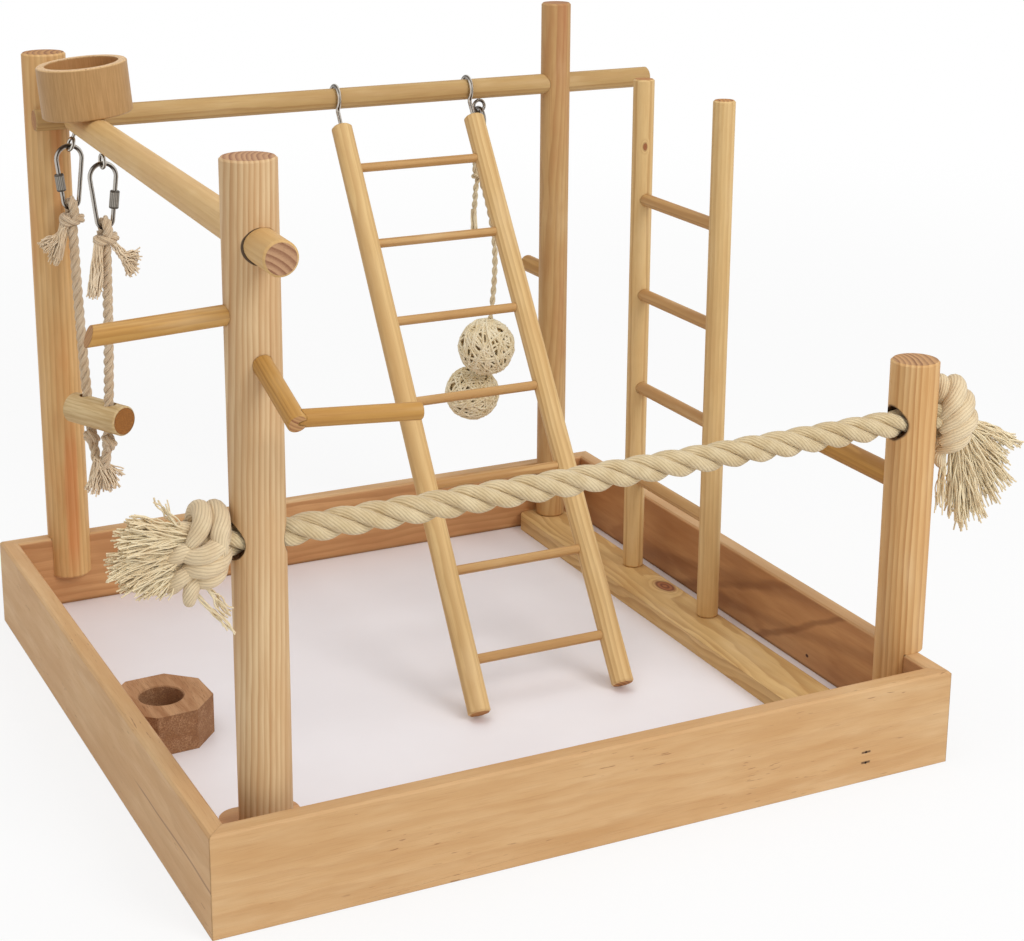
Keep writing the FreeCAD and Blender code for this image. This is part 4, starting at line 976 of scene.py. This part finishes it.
# the inner layer is a deeper copy of the same vine, as painted shade inside the ball
shaded_inner_vine = vine_finish("deep_vine_painted_shade", tint(226, 202, 156), tint(206, 178, 128))
for name, centre, radius in (("upper", UPPER_BALL, UPPER_RADIUS),
                             ("lower", LOWER_BALL, LOWER_RADIUS)):
    weave, core = "toy_%s_weave" % name, "toy_%s_core" % name
    vines = wickerwork(centre, radius, **OUTER_WEAVE)
    if name == "lower":
        touch = UPPER_RADIUS / (UPPER_RADIUS + LOWER_RADIUS)
        vines += tie(UPPER_BALL, LOWER_BALL, touch, TIE_REACH)
    piece(weave, yarns(weave, vines, OUTER_WEAVE["thick"] * MM), "toy", vine_outer,
          "woven_vine", "toy_%s_ball" % name)
    vines = wickerwork(centre, radius - INNER_DEPTH, **INNER_WEAVE)
    piece(core, yarns(core, vines, INNER_WEAVE["thick"] * MM), "toy", shaded_inner_vine,
          "woven_vine")


# ---- floor, light and camera ----------------------------------------------------
FLOOR_HALF = 8.0
FLOOR_BELOW = 0.0004
NEAR_GLOW = 0.8     # how white the floor is by itself close by; far off it is all white
SKY_LIGHT = 0.62    # how bright the white sky is as a light; seen, it is 1


def seen(tree):
    """1 for what the camera sees directly, in a reflection or through something."""
    paths = tree.node("LightPath", output=("Is Camera Ray", "Is Glossy Ray",
                                           "Is Transmission Ray"))
    return tree.maths("MAXIMUM", tree.maths("MAXIMUM", paths[0], paths[1]), paths[2])


ground = bmesh.new()
bmesh.ops.create_grid(ground, x_segments=2, y_segments=2, size=FLOOR_HALF)
bmesh.ops.translate(ground, verts=ground.verts, vec=(0, 0, -FLOOR_BELOW))
floor_mesh = bpy.data.meshes.new("studio_floor")
ground.to_mesh(floor_mesh)
ground.free()
floor = bpy.data.objects.new("studio_floor", floor_mesh)
bpy.context.collection.objects.link(floor)
paper = Finish("floor_paper", Base_Color=(0.88, 0.88, 0.88, 1), Roughness=0.9,
               Specular_IOR_Level=0.1)
glow = paper.node("Emission", {}, {"Color": (1, 1, 1, 1), "Strength": 1.0})
across, back = paper.node("SeparateXYZ", {}, {0: paper.node("TexCoord", output="Object")}, (0, 1))
far_off = paper.soft(paper.radius(across, back), 0.5, 2.2)
both = paper.node("MixShader", {}, {
    0: seen(paper) * (far_off * (1 - NEAR_GLOW) + NEAR_GLOW),
    1: Shade(paper, paper.skin.outputs[0]), 2: glow})
paper.feed(paper.tree.nodes["Material Output"].inputs["Surface"], both)
floor_mesh.materials.append(paper.material)

world = bpy.data.worlds.new("studio")
world.use_nodes = True
bpy.context.scene.world = world
sky = Nodes(world.node_tree)
background = world.node_tree.nodes["Background"]
background.inputs["Color"].default_value = (1, 1, 1, 1)
sky.feed(background.inputs["Strength"], seen(sky) * (1 - SKY_LIGHT) + SKY_LIGHT)


def softbox(name, place, aim, size, power):
    """A round, white area light."""
    light = bpy.data.lights.new(name, "AREA")
    light.shape = "DISK"
    light.size = size
    light.energy = power
    lamp = bpy.data.objects.new(name, light)
    bpy.context.collection.objects.link(lamp)
    lamp.location = place
    lamp.rotation_euler = (Vector(aim) - Vector(place)).to_track_quat("-Z", "Y").to_euler()


softbox("front_softbox", (0.9, -2.2, 1.9), (0, 0, 0.15), 1.4, 34)
softbox("top_softbox", (-0.5, -0.1, 2.6), (0, 0, 0.1), 1.8, 14)

# the lens, shift and place are solved from the corners of the tray in the picture
lens = bpy.data.cameras.new("studio_camera")
lens.sensor_width = 36
lens.lens = 72.74
lens.shift_x = 0.0508
lens.shift_y = -0.1372
lens.clip_start = 0.05
camera = bpy.data.objects.new("studio_camera", lens)
bpy.context.collection.objects.link(camera)
camera.location = (-0.5349, -1.1685, 0.6017)
camera.rotation_euler = (math.radians(74.65), 0, math.radians(-25.22))
bpy.context.scene.camera = camera
bpy.context.scene.view_settings.view_transform = "Standard"
